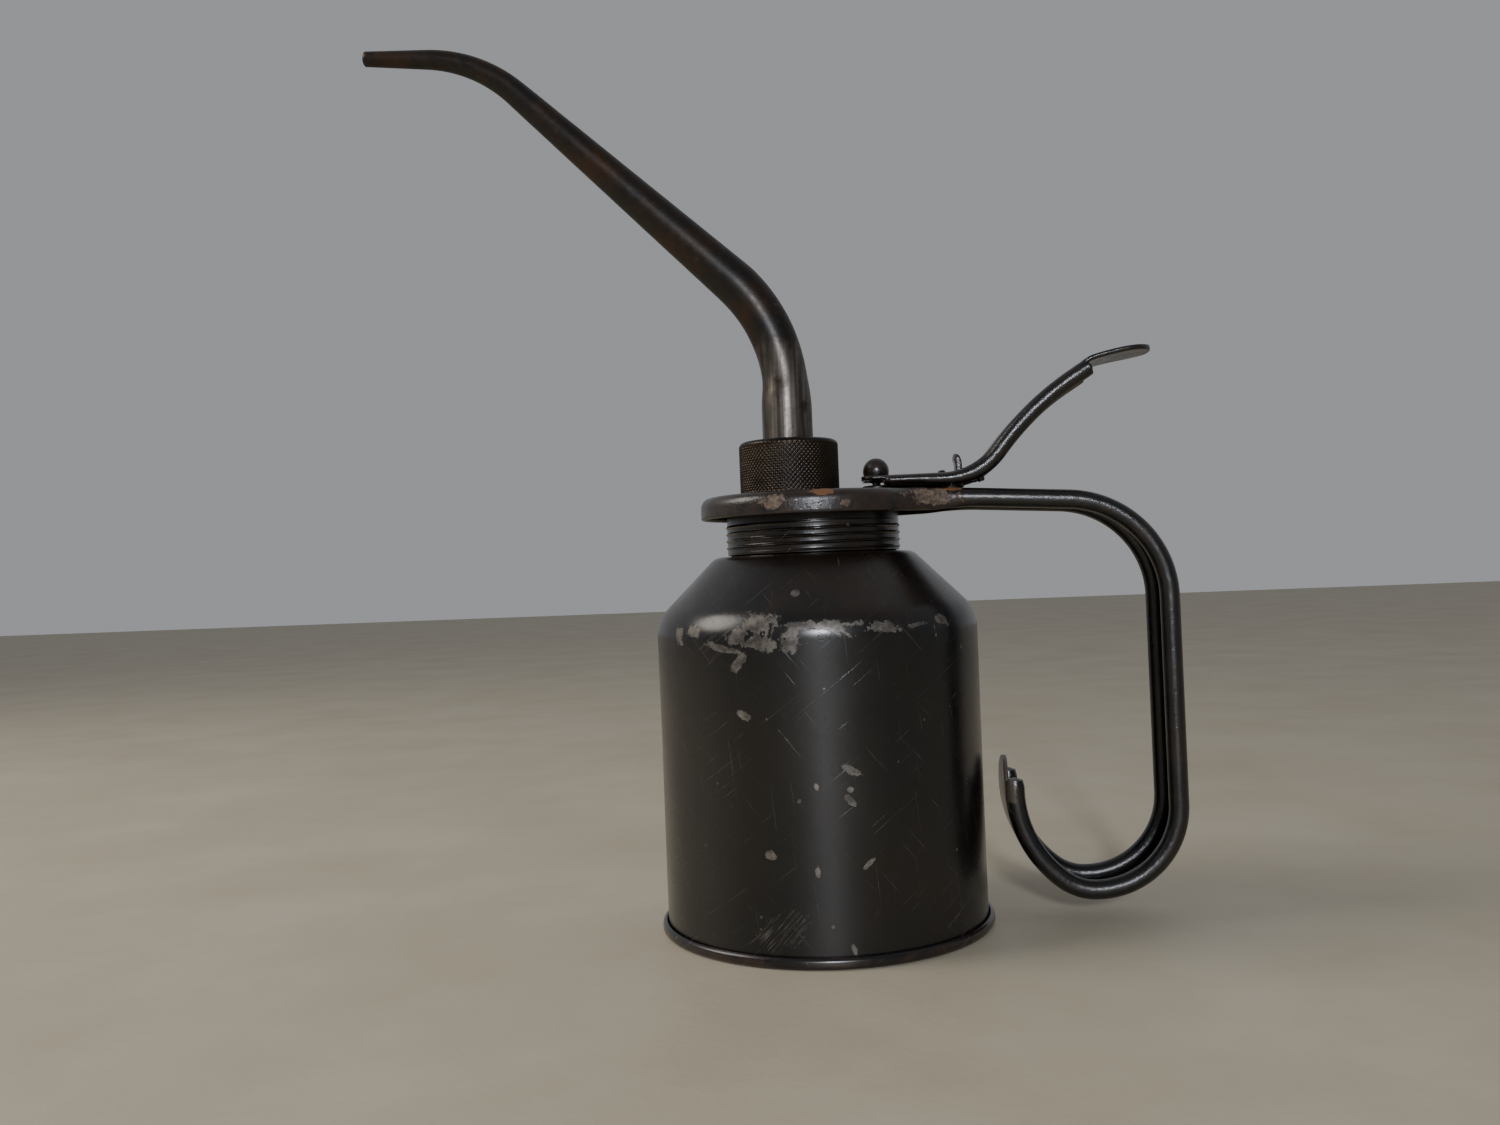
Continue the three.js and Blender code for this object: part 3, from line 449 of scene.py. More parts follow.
def stoved_japan(name, chipped):
    """Japan: a black asphalt enamel stoved on sheet steel. The eye sees a deep gloss under an oily film,
    brown where it is thin, a painted brownish sheen growing up the shoulder onto the cone, chipped to grey
    steel along corners, with flakes and hair scratches."""
    material, add, place, axes = new_material(name)
    fine = add("TexNoise", {"Vector": place, "Scale": per_mm(3.2), "Detail": 6, "Roughness": 0.7})
    # brown of thin japan in random patches, plus a painted brownish sheen: the brown grows stronger from the
    # shoulder up over the upward-facing cone
    thin_and_sheen_high = add("MapRange", {0: axes["Z"], 1: 64 * MM, 2: 74 * MM, 3: 0.35, 4: 1})
    thin = add("Math", {0: blotches(add, place, 24, 0.42, 0.62), 1: thin_and_sheen_high}, operation="MULTIPLY")
    base = painted(
        add,
        colour("#08080a"),
        (thin, "#1d140c"),
        (blotches(add, place, 2.5, 0.56, 0.74), "#101113"),
    )

    flakes = flecks(add, place, 8.4, 0.62, 0.09)
    specks = flecks(add, place, 3.0, 0.6, 0.15)
    hairs = anywhere(
        add,
        streaks(add, place, -38, 20, 0.3, 0.68, 0.73),
        streaks(add, place, 52, 16, 0.3, 0.69, 0.74),
        streaks(add, place, 84, 26, 0.3, 0.70, 0.75),
    )
    faint = add("Math", {0: hairs, 1: 0.3}, operation="MULTIPLY")
    dull = add("Math", {0: specks, 1: 0.55}, operation="MULTIPLY")
    bare = anywhere(add, flakes, dull, faint)
    if chipped:
        # the corner of the shoulder is knocked bare in a torn band
        ragged = add("TexNoise", {"Vector": place, "Scale": per_mm(2.4), "Detail": 8, "Roughness": 0.72})
        torn = add("TexNoise", {"Vector": place, "Scale": per_mm(1.0), "Detail": 5, "Roughness": 0.7})
        coarse = add("TexNoise", {"Vector": place, "Scale": per_mm(7.5), "Detail": 8, "Roughness": 0.72,
                                  "Distortion": 0.6})
        above = add("MapRange", {0: axes["Z"], 1: 65 * MM, 2: 69 * MM})
        below = add("MapRange", {0: axes["Z"], 1: 74 * MM, 2: 70.5 * MM})
        band = add("Math", {0: above, 1: below}, operation="MULTIPLY")
        worn = add("Math", {0: band, 1: 0.25, 2: coarse}, operation="MULTIPLY_ADD")
        chips = add("MapRange", {0: worn, 1: 0.85, 2: 0.862})
        front = spots(add, place, axes, ragged, 4.2, SHOULDER_CHIPS)
        knocks = spots(add, place, axes, torn, 1.8, SIDE_FLAKES)
        scrubbed = add("Math", {0: spots(add, place, axes, ragged, 3.0, SCRUBBED),
                                1: streaks(add, place, -48, 7, 0.3, 0.5, 0.68)}, operation="MULTIPLY")
        scrub = add("Math", {0: scrubbed, 1: 0.5}, operation="MULTIPLY")
        chips = add("Math", {0: anywhere(add, chips, front), 1: 0.85}, operation="MULTIPLY")
        bare = anywhere(add, bare, chips, knocks, scrub)
        # the crimped rim has lost its black on the outside
        low = add("MapRange", {0: axes["Z"], 1: 3.0 * MM, 2: 1.6 * MM})
        rubbed = add("Math", {0: low, 1: blotches(add, place, 5, 0.36, 0.6)}, operation="MULTIPLY")
        base = painted(add, base, (rubbed, "#2c1d16"))
    steel = painted(add, colour("#46413c"), (blotches(add, place, 2.0, 0.36, 0.66), "#7a746c"))
    film = add("TexNoise", {"Vector": place, "Scale": per_mm(11), "Detail": 5, "Roughness": 0.6})
    rough = add("MapRange", {0: film, 1: 0.3, 2: 0.7, 3: 0.24, 4: 0.34})
    rough = add("Math", {0: bare, 1: 0.15, 2: rough}, operation="MULTIPLY_ADD")
    skin = add("Math", {0: fine, 1: 0.35}, operation="MULTIPLY")
    height = add("Math", {0: skin, 1: bare}, operation="SUBTRACT")
    finish(
        add,
        {"Base Color": painted(add, base, (bare, steel)), "Roughness": rough,
         "Metallic": add("Math", {0: bare, 1: 0.5}, operation="MULTIPLY")},
        height,
        0.05,
        {"IOR": 1.5, "Specular IOR Level": 0.42, "Coat Weight": 0.45, "Coat Roughness": 0.24},
    )
    return material


def handled_japan(name):
    """The same black japan on the parts a hand wears. The eye sees oily black rubbed to brown on the
    edges, tan undercoat and orange rust where the rim is chipped, and dirt held by old oil."""
    material, add, place, axes = new_material(name)
    fine = add("TexNoise", {"Vector": place, "Scale": per_mm(2.4), "Detail": 7, "Roughness": 0.72})
    grit = add("TexNoise", {"Vector": place, "Scale": per_mm(0.9), "Detail": 4, "Roughness": 0.7})
    near_rim = add("MapRange", {0: axes["X"], 1: 42 * MM, 2: 30 * MM})
    wear = blotches(add, place, 9, 0.44, 0.66, 6, 0.66, 0.3)
    rubbed = blotches(add, place, 6, 0.38, 0.62, 6, 0.66)
    rim_wear = add("Math", {0: near_rim, 1: rubbed}, operation="MULTIPLY")
    tan = painted(add, colour("#3a2f28"), (blotches(add, place, 1.0, 0.36, 0.66), "#776454"))
    chips = spots(add, place, axes, fine, 3.4, RIM_CHIPS)
    rust = spots(add, place, axes, fine, 3.4, RIM_RUST)
    tab = spots(add, place, axes, fine, 2.0, [(TAB_X, TAB_Z, 2.5, 6.5, 0)])
    crumbs = blotches(add, place, 2.2, 0.66, 0.72, 6, 0.7)
    bare = anywhere(add, chips, rust, crumbs)
    base = painted(
        add,
        colour("#0a0a0b"),
        (wear, "#1c1512"),
        (rim_wear, "#2b1f18"),
        (tab, "#4c443c"),
        (crumbs, "#4a3c31"),
        (chips, tan),
        (rust, "#6e4a2b"),
    )
    film = add("TexNoise", {"Vector": place, "Scale": per_mm(6), "Detail": 5, "Roughness": 0.6})
    rough = add("MapRange", {0: film, 1: 0.3, 2: 0.7, 3: 0.24, 4: 0.44})
    rough = add("Math", {0: bare, 1: 0.25, 2: rough}, operation="MULTIPLY_ADD")
    lumps = add("Math", {0: grit, 1: 0.5, 2: fine}, operation="MULTIPLY_ADD")
    height = add("Math", {0: lumps, 1: bare}, operation="SUBTRACT")
    finish(add, {"Base Color": base, "Roughness": rough}, height, 0.16,
           {"IOR": 1.5, "Specular IOR Level": 0.42, "Coat Weight": 0.45, "Coat Roughness": 0.16})
    return material


def oxidised_steel(name, bare_below):
    """Drawn steel tube that has browned. The eye sees a dull brown-black skin with rust tints, faint lines
    along the tube, and bare grey metal where the foot is handled."""
    material, add, place, axes = new_material(name)
    cloud = add("TexNoise", {"Vector": place, "Scale": per_mm(12), "Detail": 5, "Roughness": 0.62,
                             "Distortion": 0.3})
    fine = add("TexNoise", {"Vector": place, "Scale": per_mm(1.5), "Detail": 6, "Roughness": 0.7})
    rusty = blotches(add, place, 15, 0.46, 0.66, 5, 0.64, 0.3)
    dusty = blotches(add, place, 1.4, 0.6, 0.76)
    base = painted(add, colour("#1a1613"), (rusty, "#33200f"), (dusty, "#3a332d"))
    ragged = 34  # how far the edge of the bare foot wanders, in millimetres
    middle = bare_below + ragged / 2
    edge = add("Math", {0: cloud, 1: ragged * MM, 2: axes["Z"]}, operation="MULTIPLY_ADD")
    bare = add("MapRange", {0: edge, 1: (middle + 4) * MM, 2: (middle - 7) * MM})
    lines = streaks(add, place, 90, 26, 0.7, 0.35, 0.7)
    stained = blotches(add, place, 5, 0.52, 0.7)
    grey = painted(add, colour("#4b4641"), (lines, "#7b756e"), (stained, "#332a23"))
    finish(
        add,
        {"Base Color": painted(add, base, (bare, grey)),
         "Roughness": add("MapRange", {0: fine, 1: 0.3, 2: 0.7, 3: 0.32, 4: 0.46}),
         "Metallic": add("MapRange", {0: bare, 3: 0.35, 4: 0.85})},
        fine,
        0.05,
    )
    return material


def browned_brass(name, centre_x, crest):
    """Knurled brass nut gone bronze brown under oil. The eye sees dark grooves full of dirt and small
    brighter points where fingers rub the tips of the knurl."""
    material, add, place, axes = new_material(name)
    across = add("Math", {0: axes["X"], 1: centre_x * MM}, operation="SUBTRACT")
    flat = add("CombineXYZ", {"X": across, "Y": axes["Y"]})
    reach = add("VectorMath", {0: flat}, operation="LENGTH")
    tips = add("MapRange", {0: reach, 1: (crest - 0.24) * MM, 2: (crest - 0.02) * MM})
    fine = add("TexNoise", {"Vector": place, "Scale": per_mm(0.8), "Detail": 4, "Roughness": 0.7})
    oiled = blotches(add, place, 6, 0.5, 0.7)
    base = painted(add, colour("#0e0b09"), (tips, "#453626"), (oiled, "#1f1812"))
    finish(
        add,
        {"Base Color": base, "Roughness": add("MapRange", {0: fine, 1: 0.3, 2: 0.7, 3: 0.24, 4: 0.42}),
         "Metallic": add("MapRange", {0: tips, 3: 0.4, 4: 0.9})},
        fine,
        0.04,
    )
    return material


def plain_metal(name, dark, light, rough):
    """Turned or ground metal inside the can. The eye sees a soft shine, stained by oil, with fine
    turning marks about a third of a millimetre apart."""
    material, add, place, _ = new_material(name)
    stain = blotches(add, place, 5, 0.35, 0.65)
    marks = add("TexWave", {"Vector": place, "Scale": per_mm(0.34 * TURN), "Distortion": 0.6},
                bands_direction="Z")
    finish(
        add,
        {"Base Color": painted(add, colour(dark), (stain, light)),
         "Roughness": add("MapRange", {0: stain, 3: rough, 4: rough + 0.12})},
        marks,
        0.01,
        {"Metallic": 1.0},
    )
    return material


def soaked_sheet(name, dark, light, size):
    """Gasket fibre or leather soaked in oil. The eye sees a dull surface with short fibres."""
    material, add, place, _ = new_material(name)
    fibres = blotches(add, place, size, 0.3, 0.7, 6, 0.7)
    finish(
        add,
        {"Base Color": painted(add, colour(dark), (fibres, light)),
         "Roughness": add("MapRange", {0: fibres, 3: 0.5, 4: 0.8})},
        fibres,
        0.05,
        {"IOR": 1.5},
    )
    return material


def shelf_paint(name):
    """Flat cream paint of the shelf under the can. The eye sees a matt surface, slightly uneven."""
    material, add, place, _ = new_material(name)
    base = painted(add, colour("#b8ad95"), (blotches(add, place, 60, 0.3, 0.7), "#c4bba6"))
    roller = blotches(add, place, 2.5, 0.3, 0.7)
    finish(add, {"Base Color": base, "Roughness": 0.55}, roller, 0.05)
    return material


can_japan = stoved_japan("stoved_japan_can", True)
cap_japan = stoved_japan("stoved_japan_cap", False)
hand_japan = handled_japan("handled_japan")
BARE_FOOT = 24  # height of the spout's foot that hands keep bare
spout_steel = oxidised_steel("oxidised_steel", SPOUT_LOW.z + BARE_FOOT)
nut_brass = browned_brass("browned_brass", SPOUT_X, NUT_HIGH.x - SPOUT_X)
pump_brass = plain_metal("turned_brass", "#8a6a30", "#b8944e", 0.28)
ground_steel = plain_metal("ground_steel", "#6f6f70", "#a5a5a6", 0.22)
dull_steel = plain_metal("dull_steel", "#2e2a27", "#4a443f", 0.36)
fibre = soaked_sheet("vulcanised_fibre", "#3a1a12", "#6b3526", 0.6)
leather = soaked_sheet("cup_leather", "#3f2817", "#6b4a2d", 0.4)


# -------------------- can

SIDE_LEVELS = (1.2, 3, 6, 12)  # rings at the foot of the side
SIDE_RINGS, SHOULDER_RINGS, CONE_RINGS = 12, 9, 5
CONE = 45 * DEG
CONE_EDGE_RUN, CONE_EDGE_DROP = 1.4, 0.6  # bevel between the cone and the flat ring


def can_profile(inset):
    """Outline from the foot of the side to the top of the neck, moved in by inset."""
    side = CAN_RADIUS - inset
    corner = SHOULDER - inset
    centre = CAN_RADIUS - SHOULDER
    lean = inset * math.tan(CONE / 2)
    foot = SIDE_LEVELS[-1]
    profile = [(side, z) for z in SIDE_LEVELS]
    profile += [(side, blend(foot, SIDE_TOP, i / SIDE_RINGS)) for i in range(1, SIDE_RINGS + 1)]
    for i in range(1, SHOULDER_RINGS + 1):
        angle = CONE * i / SHOULDER_RINGS
        profile.append((centre + corner * math.cos(angle), SIDE_TOP + corner * math.sin(angle)))
    cone_end = (CONE_TOP_RADIUS - lean, CAN_FLAT - CONE_EDGE_DROP - inset + lean)
    last = profile[-1]
    for i in range(1, CONE_RINGS):
        profile.append(tuple(blend(last[k], cone_end[k], i / CONE_RINGS) for k in (0, 1)))
    top = softened([
        profile[-1],
        cone_end,
        (cone_end[0] - CONE_EDGE_RUN, CAN_FLAT - inset),
        (NECK_RADIUS - inset, CAN_FLAT - inset),
        (NECK_RADIUS - inset, CAN_HIGH.z),
    ], 0.8)
    return profile[:-1] + [tuple(p) for p in top]


def can_wobble(angle, z):
    """Slight dents and waves in the drawn sheet."""
    at = Vector((math.cos(angle) * 1.3, math.sin(angle) * 1.3, z * 0.03))
    fade = ramp(z, 4, 16) * (1 - ramp(z, 78, 86))
    return 0.16 * fade * noise.noise(at * 1.2) + 0.05 * fade * noise.noise(at * 4 + Vector((7, 3, 1)))


CAN_COLUMNS = 160
outside = can_profile(0)
inside = can_profile(CAN_WALL)[::-1]
shell = Shape().grid(turned(outside + inside, CAN_COLUMNS, wobble=can_wobble), ring=True, loop=True)
piece("can_shell", shell, "can", can_japan, ["can_body"], 50)

RIM = BASE_HIGH.x
RIM_TOP = 2.6
FOOT_INNER = RIM - 2.8
FOOT_WIDTH = 2
RECESS = 1.6  # height of the base over the ground
BASE_SHEET = 0.6
SEAM_OUTER, SEAM_INNER = CAN_RADIUS + 0.3, CAN_RADIUS - 0.8  # the rim grips the can's side between these
SEAM_FOOT, SEAM_TOP = 0.9, 4.2
AXIS = 0.4  # radius of the small faces that close the middle
base_profile = softened([
    (AXIS, RECESS),
    (FOOT_INNER - 0.6, RECESS),
    (FOOT_INNER, RECESS - 0.4),
    (FOOT_INNER, 0.0),
    (FOOT_INNER + FOOT_WIDTH, 0.0),
    (RIM - 0.05, 0.6),
    (RIM, 1.3),
    (RIM - 0.1, 2.1),
    (RIM - 0.6, RIM_TOP),
    (SEAM_OUTER, RIM_TOP),
    (SEAM_OUTER, SEAM_FOOT),
    (SEAM_INNER, SEAM_FOOT),
    (SEAM_INNER, SEAM_TOP),
    (SEAM_INNER - BASE_SHEET, SEAM_TOP),
    (SEAM_INNER - BASE_SHEET, RECESS + BASE_SHEET),
    (AXIS, RECESS + BASE_SHEET),
], 0.3, 3)
base_shape = Shape().grid(turned(base_profile, CAN_COLUMNS), ring=True, ends=True)
piece("base_rim", base_shape, "can", can_japan, ["base_plate"], 40)

# -------------------- screw cap

CAP_RIDGE = 0.3
CAP_RADIUS = CAP_HIGH.x - CAP_RIDGE
CAP_SHEET = 0.5
CAP_TOP_SHEET = 0.8
CAP_INNER = CAP_RADIUS - CAP_SHEET
CAP_EDGE = 1.2  # radius between the side and the top
CAP_SIDE = 10.9
CAP_SIDE_RINGS = 76
CAP_COLUMNS = 192
THREAD = 1.6  # pitch of the rolled thread
THREAD_START = (CAP_LOW.z + 0.3, CAP_LOW.z + 0.9)
THREAD_END = (CAP_LOW.z + 6.4, CAP_LOW.z + 7.2)


def cap_row(radius, z):
    """One ring of the skirt. The rolled thread climbs once a turn."""
    row = []
    for i in range(CAP_COLUMNS):
        angle = TURN * i / CAP_COLUMNS
        phase = (z - THREAD_START[1]) / THREAD - i / CAP_COLUMNS
        band = ramp(z, *THREAD_START) * (1 - ramp(z, *THREAD_END))
        crest = max(0.0, math.cos(TURN * phase)) ** 1.5
        out = radius + CAP_RIDGE * crest * band
        row.append((out * math.cos(angle), out * math.sin(angle), z))
    return row


def plain_row(radius, z):
    return [(x, y, z) for x, y in circle(radius, CAP_COLUMNS)]


skirt = [
    plain_row(CAP_INNER, CAP_HIGH.z - CAP_TOP_SHEET),
    plain_row(CAP_INNER, CAP_LOW.z + 0.1),
    plain_row(CAP_INNER + 0.15, CAP_LOW.z),
    plain_row(CAP_RADIUS - 0.1, CAP_LOW.z),
]
for i in range(CAP_SIDE_RINGS + 1):
    skirt.append(cap_row(CAP_RADIUS, CAP_LOW.z + 0.1 + CAP_SIDE * i / CAP_SIDE_RINGS))
for degrees in (20, 40, 60, 75, 90):
    angle = degrees * DEG
    skirt.append(plain_row(CAP_RADIUS - CAP_EDGE + CAP_EDGE * math.cos(angle),
                           CAP_HIGH.z - CAP_EDGE + CAP_EDGE * math.sin(angle)))
top_holes = [circle(SPOUT_HOLE, 48, SPOUT_X), circle(ROD_HOLE, 24, PUMP_X)]
cap = Shape().grid(skirt, ring=True)
cap.sheet([circle(CAP_RADIUS - CAP_EDGE, CAP_COLUMNS), *top_holes], CAP_HIGH.z, CAP_HIGH.z - CAP_TOP_SHEET)
piece("cap_shell", cap, "cap", cap_japan, ["screw_cap"])

# -------------------- grip plate and J-shaped grip

# middle of the fillet, and the angle at which it meets the plate's edge
fillet_y = GRIP_HALF + FILLET
fillet_x = math.sqrt((PLATE_RADIUS + FILLET) ** 2 - fillet_y**2)
fillet_angle = math.atan2(fillet_y, fillet_x)


def bent(point):
    """Lays a point of the flat pattern on the bent strip."""
    x, y, up = point
    if x <= GRIP_START:
        return x, y, PLATE_TOP + up
    return grip_path.place(x - GRIP_START, y, up)


def bead_section(radius):
    """Closed outline of a rolled edge: outwards and down the outside, then back up the inside."""
    turn = [90 * DEG - TURN * i / 36 for i in range(36)]
    return np.array([(-radius + radius * math.cos(a), -radius + radius * math.sin(a)) for a in turn])


def rim_section():
    """Closed outline of the turned-down rim of the plate, with as many points as the bead."""
    foot = -RIM_HEIGHT + 0.4
    inner_edge = RIM_EDGE - SHEET
    outline = [(-RIM_EDGE + RIM_EDGE * math.sin(a), -RIM_EDGE + RIM_EDGE * math.cos(a))
               for a in np.linspace(0, 90 * DEG, 9)]
    outline += [(0, blend(-RIM_EDGE, foot, i / 7)) for i in range(1, 8)]
    outline += [(-0.12, -RIM_HEIGHT + 0.12), (-0.45, -RIM_HEIGHT)]
    outline += [(-0.85, -RIM_HEIGHT + 0.1), (-SHEET, foot)]
    outline += [(-SHEET, blend(foot, -RIM_EDGE, i / 7)) for i in range(1, 8)]
    outline += [(-RIM_EDGE + inner_edge * math.cos(a), -RIM_EDGE + inner_edge * math.sin(a))
                for a in np.linspace(0, 90 * DEG, 10)[1:]]
    return np.array(outline)


BEAD_CAP = 1.3  # length over which the rolled edge closes at its end
RIM_TO_BEAD = (26, 39)  # between these the plate's rim turns into the rolled edge
bead_outline = bead_section(GRIP_BEAD)
rim_outline = rim_section()


def edge_stations():
    """Points of the plan's edge from the tip of the grip round the disc, as (x, y, out x, out y)."""
    first, last = fillet_x - GRIP_START + 0.6, BEAD_END - GRIP_START - 0.02
    strip = sorted(grip_path.stations(first, last), reverse=True)
    near = [(GRIP_START + distance, -GRIP_HALF, 0.0, -1.0) for distance in strip]
    for i in range(17):
        angle = blend(90 * DEG, 180 * DEG - fillet_angle, i / 16)
        out = (-math.cos(angle), -math.sin(angle))
        near.append((fillet_x - FILLET * out[0], -fillet_y - FILLET * out[1], *out))
    for i in range(1, 49):
        angle = blend(-fillet_angle, -180 * DEG, i / 48)
        out = (math.cos(angle), math.sin(angle))
        near.append((PLATE_RADIUS * out[0], PLATE_RADIUS * out[1], *out))
    far = [(x, -y, out_x, -out_y) for x, y, out_x, out_y in near[:-1]][::-1]
    return near + far


def edge_rows():
    rows = []
    for x, y, out_x, out_y in edge_stations():
        section = blend(rim_outline, bead_outline, ramp(x, *RIM_TO_BEAD))
        to_end = BEAD_END - x
        if to_end < BEAD_CAP:
            shrink = math.sqrt(max(0.02, 1 - (1 - max(to_end, 0.0) / BEAD_CAP) ** 2))
            section = blend(np.array([-GRIP_BEAD, -GRIP_BEAD]), section, shrink)
        wear = 0.06 * noise.noise(Vector((x * 0.35, y * 0.35, 2.0)))
        rows.append([bent((x + (a + wear) * out_x, y + (a + wear) * out_y, b)) for a, b in section])
    return rows


TAB_HALF = 8.2


def rounding(to_end, reach):
    """Share of the full width this far from a rounded end."""
    return 1 if to_end >= reach else math.sqrt(max(0.0, 1 - (1 - to_end / reach) ** 2))


def web_half(x):
    """Half width of the flat web of the strip."""
    if x < fillet_x:
        return fillet_y - math.sqrt((FILLET + WEB_INSET) ** 2 - (x - fillet_x) ** 2)
    if x < BEAD_END - 0.5:
        return GRIP_HALF - WEB_INSET
    return max(0.5, TAB_HALF * rounding(TAB_END - x, TAB_HALF))


def flat_section(inner, outer, sheet, columns=6):
    """Closed outline of half a sheet strip, with a rounded outer edge."""
    lip = sheet / 2
    top = [(blend(inner, outer - lip, i / columns), 0.0) for i in range(columns + 1)]
    nose = [(outer - lip + lip * math.cos(a * DEG), -lip + lip * math.sin(a * DEG))
            for a in (60, 30, 0, -30, -60)]
    foot = [(blend(outer - lip, inner, i / columns), -sheet) for i in range(columns + 1)]
    return top + nose + foot


grip = Shape().grid(edge_rows(), ring=True, ends=True)
disc = PLATE_RADIUS - WEB_INSET
inner_fillet = FILLET + WEB_INSET
plan = [(disc * math.cos(a), disc * math.sin(a))
        for a in np.linspace(fillet_angle, TURN - fillet_angle, 97)]
start_angle = math.acos((fillet_x - GRIP_START) / inner_fillet)
for angle in np.linspace(fillet_angle, start_angle, 8)[1:]:
    plan.append((fillet_x - inner_fillet * math.cos(angle), -fillet_y + inner_fillet * math.sin(angle)))
plan += [(x, -y) for x, y in plan[:-8:-1]]
grip.sheet([plan, *top_holes], PLATE_TOP, PLATE_TOP - SHEET)
web = []
web_marks = grip_path.stations(0.0, grip_path.length, 3 * DEG, 1.5)
web_marks += [grip_path.length - back for back in (2.9, 1.9, 1.2, 0.7, 0.35, 0.12, 0.03)]
for distance in sorted(web_marks):
    x = GRIP_START + distance
    section = flat_section(0.0, web_half(x), SHEET)
    whole = section + [(-w, u) for w, u in section[::-1]]
    web.append([bent((x, w, u)) for w, u in whole])
grip.grid(web, ring=True, ends=True)
# hardened oil by the nut, at the lever's heel and under the lever
lump(grip, (9.8, -3.0, PLATE_TOP + 0.1), (2.0, 2.4, 0.75), 3.0)
lump(grip, (33.0, -5.8, PLATE_TOP), (2.6, 1.6, 0.55), 8.0)
lump(grip, (19.5, -4.5, PLATE_TOP), (2.4, 2.2, 0.4), 5.0)
piece("grip_plate", grip, "cap", hand_japan, ["handle_plate"], 45)

# -------------------- fulcrum hook and rivet

HOOK_SHEET = 1.5
HOOK_HALF = 3.5
hook_path = (
    BentPath(HOOK_LOW.x, PLATE_TOP - SHEET - GAP - HOOK_SHEET / 2)
    .run(5.9)
    .bend(1.6, 90 * DEG)
    .run(5.85)
    .bend(4, 22 * DEG)
    .bend(1.3, 48 * DEG)
)


def hook_section(scale):
    """Rounded rectangle, smaller towards the hook's tip."""
    corner = 0.4 * scale
    across = HOOK_HALF * scale - corner
    up = HOOK_SHEET / 2 * (0.35 + 0.65 * scale) - corner
    points = []
    for side_x, side_y, start in ((1, 1, 0), (-1, 1, 90), (-1, -1, 180), (1, -1, 270)):
        for step_angle in (0, 30, 60, 90):
            a = (start + step_angle) * DEG
            points.append((side_x * across + corner * math.cos(a), side_y * up + corner * math.sin(a)))
    return points


hook_rows = []
for distance in hook_path.stations(0.0, hook_path.length, 8 * DEG, 1.0):
    to_end = hook_path.length - distance
    scale = 1 if to_end > 1.0 else math.sqrt(max(0.12, 1 - (1 - to_end) ** 2))
    hook_rows.append([hook_path.place(distance, w, u) for w, u in hook_section(scale)])
hook = Shape().grid(hook_rows, ring=True, ends=True)
piece("hook_tab", hook, "cap", hand_japan, ["fulcrum_hook"])

RIVET_AXIS, RIVET_SHANK = 0.15, 1.1
rivet_profile = softened([
    (RIVET_AXIS, RIVET_LOW.z),
    (1.6, RIVET_LOW.z + 0.1),
    (2.0, RIVET_LOW.z + 0.9),
    (RIVET_SHANK, RIVET_LOW.z + 0.9),
    (RIVET_SHANK, PLATE_TOP + 0.05),
    (2.2, PLATE_TOP + 0.1),
    (1.7, RIVET_HIGH.z - 0.3),
    (0.8, RIVET_HIGH.z),
    (RIVET_AXIS, RIVET_HIGH.z),
], 0.3)
rivet_x = (RIVET_LOW.x + RIVET_HIGH.x) / 2
rivet = Shape().grid(turned(rivet_profile, 40, rivet_x), ring=True, ends=True)
piece("hook_rivet", rivet, "cap", hand_japan, ["fulcrum_rivet"])

# -------------------- thumb lever

LEVER_TOP = PLATE_TOP + 3.5
LEVER_FLAT = 18.6
HEEL, HEEL_TURN = 14.6, 52.5
RISE, RISE_TURN = 68.0, 20.5
PAD_NECK = 4.7  # straight run before the thumb pad dips
lever_path = (
    BentPath(LEVER_LOW.x, LEVER_TOP)
    .run(LEVER_FLAT)
    .bend(HEEL, HEEL_TURN * DEG)
    .bend(RISE, -RISE_TURN * DEG)
    .run(PAD_NECK)
    .bend(6, -17 * DEG)
    .bend(63, -12.5 * DEG)
)
LEVER_BEAD_START = 5.3
LEVER_BEAD_END = LEVER_FLAT + HEEL * HEEL_TURN * DEG + RISE * RISE_TURN * DEG + PAD_NECK
FRONT_HALF, PAD_HALF, PAD_ROUND = 7.0, 8.4, 7
HOOK_X = HOOK_HIGH.x - HOOK_SHEET / 2  # middle of the hook's upright
HOOK_HOLE = [LEVER_FLAT + HEEL * math.asin((x - LEVER_LOW.x - LEVER_FLAT) / HEEL)
             for x in (HOOK_X - 2.7, HOOK_X + 1.3)]
HOOK_HOLE_HALF = 4.0
SLOT_HALF = 3.1  # the fork's slot for the plunger
SLOT_END = PUMP_X + 0.5 - LEVER_LOW.x


def lever_depth(distance):
    """The rolled edges are flattened at the front of the lever."""
    if distance <= LEVER_FLAT:
        return blend(0.64, 0.74, ramp(distance, LEVER_FLAT - 6.5, LEVER_FLAT))
    return blend(0.74, 1.0, ramp(distance, LEVER_FLAT, LEVER_FLAT + 9))


def lever_inner(distance):
    """Half width of the fork's slot, then of the hole for the hook."""
    beyond = distance - SLOT_END
    if beyond <= 0:
        return SLOT_HALF
    if beyond < SLOT_HALF:
        return math.sqrt(max(0.0, SLOT_HALF**2 - beyond**2))
    return HOOK_HOLE_HALF if HOOK_HOLE[0] < distance < HOOK_HOLE[1] else 0.0


def lever_outer(distance):
    """Half width of the flat sheet: rounded at the front and at the thumb pad."""
    if distance < LEVER_BEAD_START + 0.6:
        return FRONT_HALF * (0.62 + 0.38 * rounding(distance, 3))
    if distance < LEVER_BEAD_END - 0.8:
        return LEVER_HALF - LEVER_BEAD
    return PAD_HALF * (0.22 + 0.78 * rounding(lever_path.length - distance, PAD_ROUND))


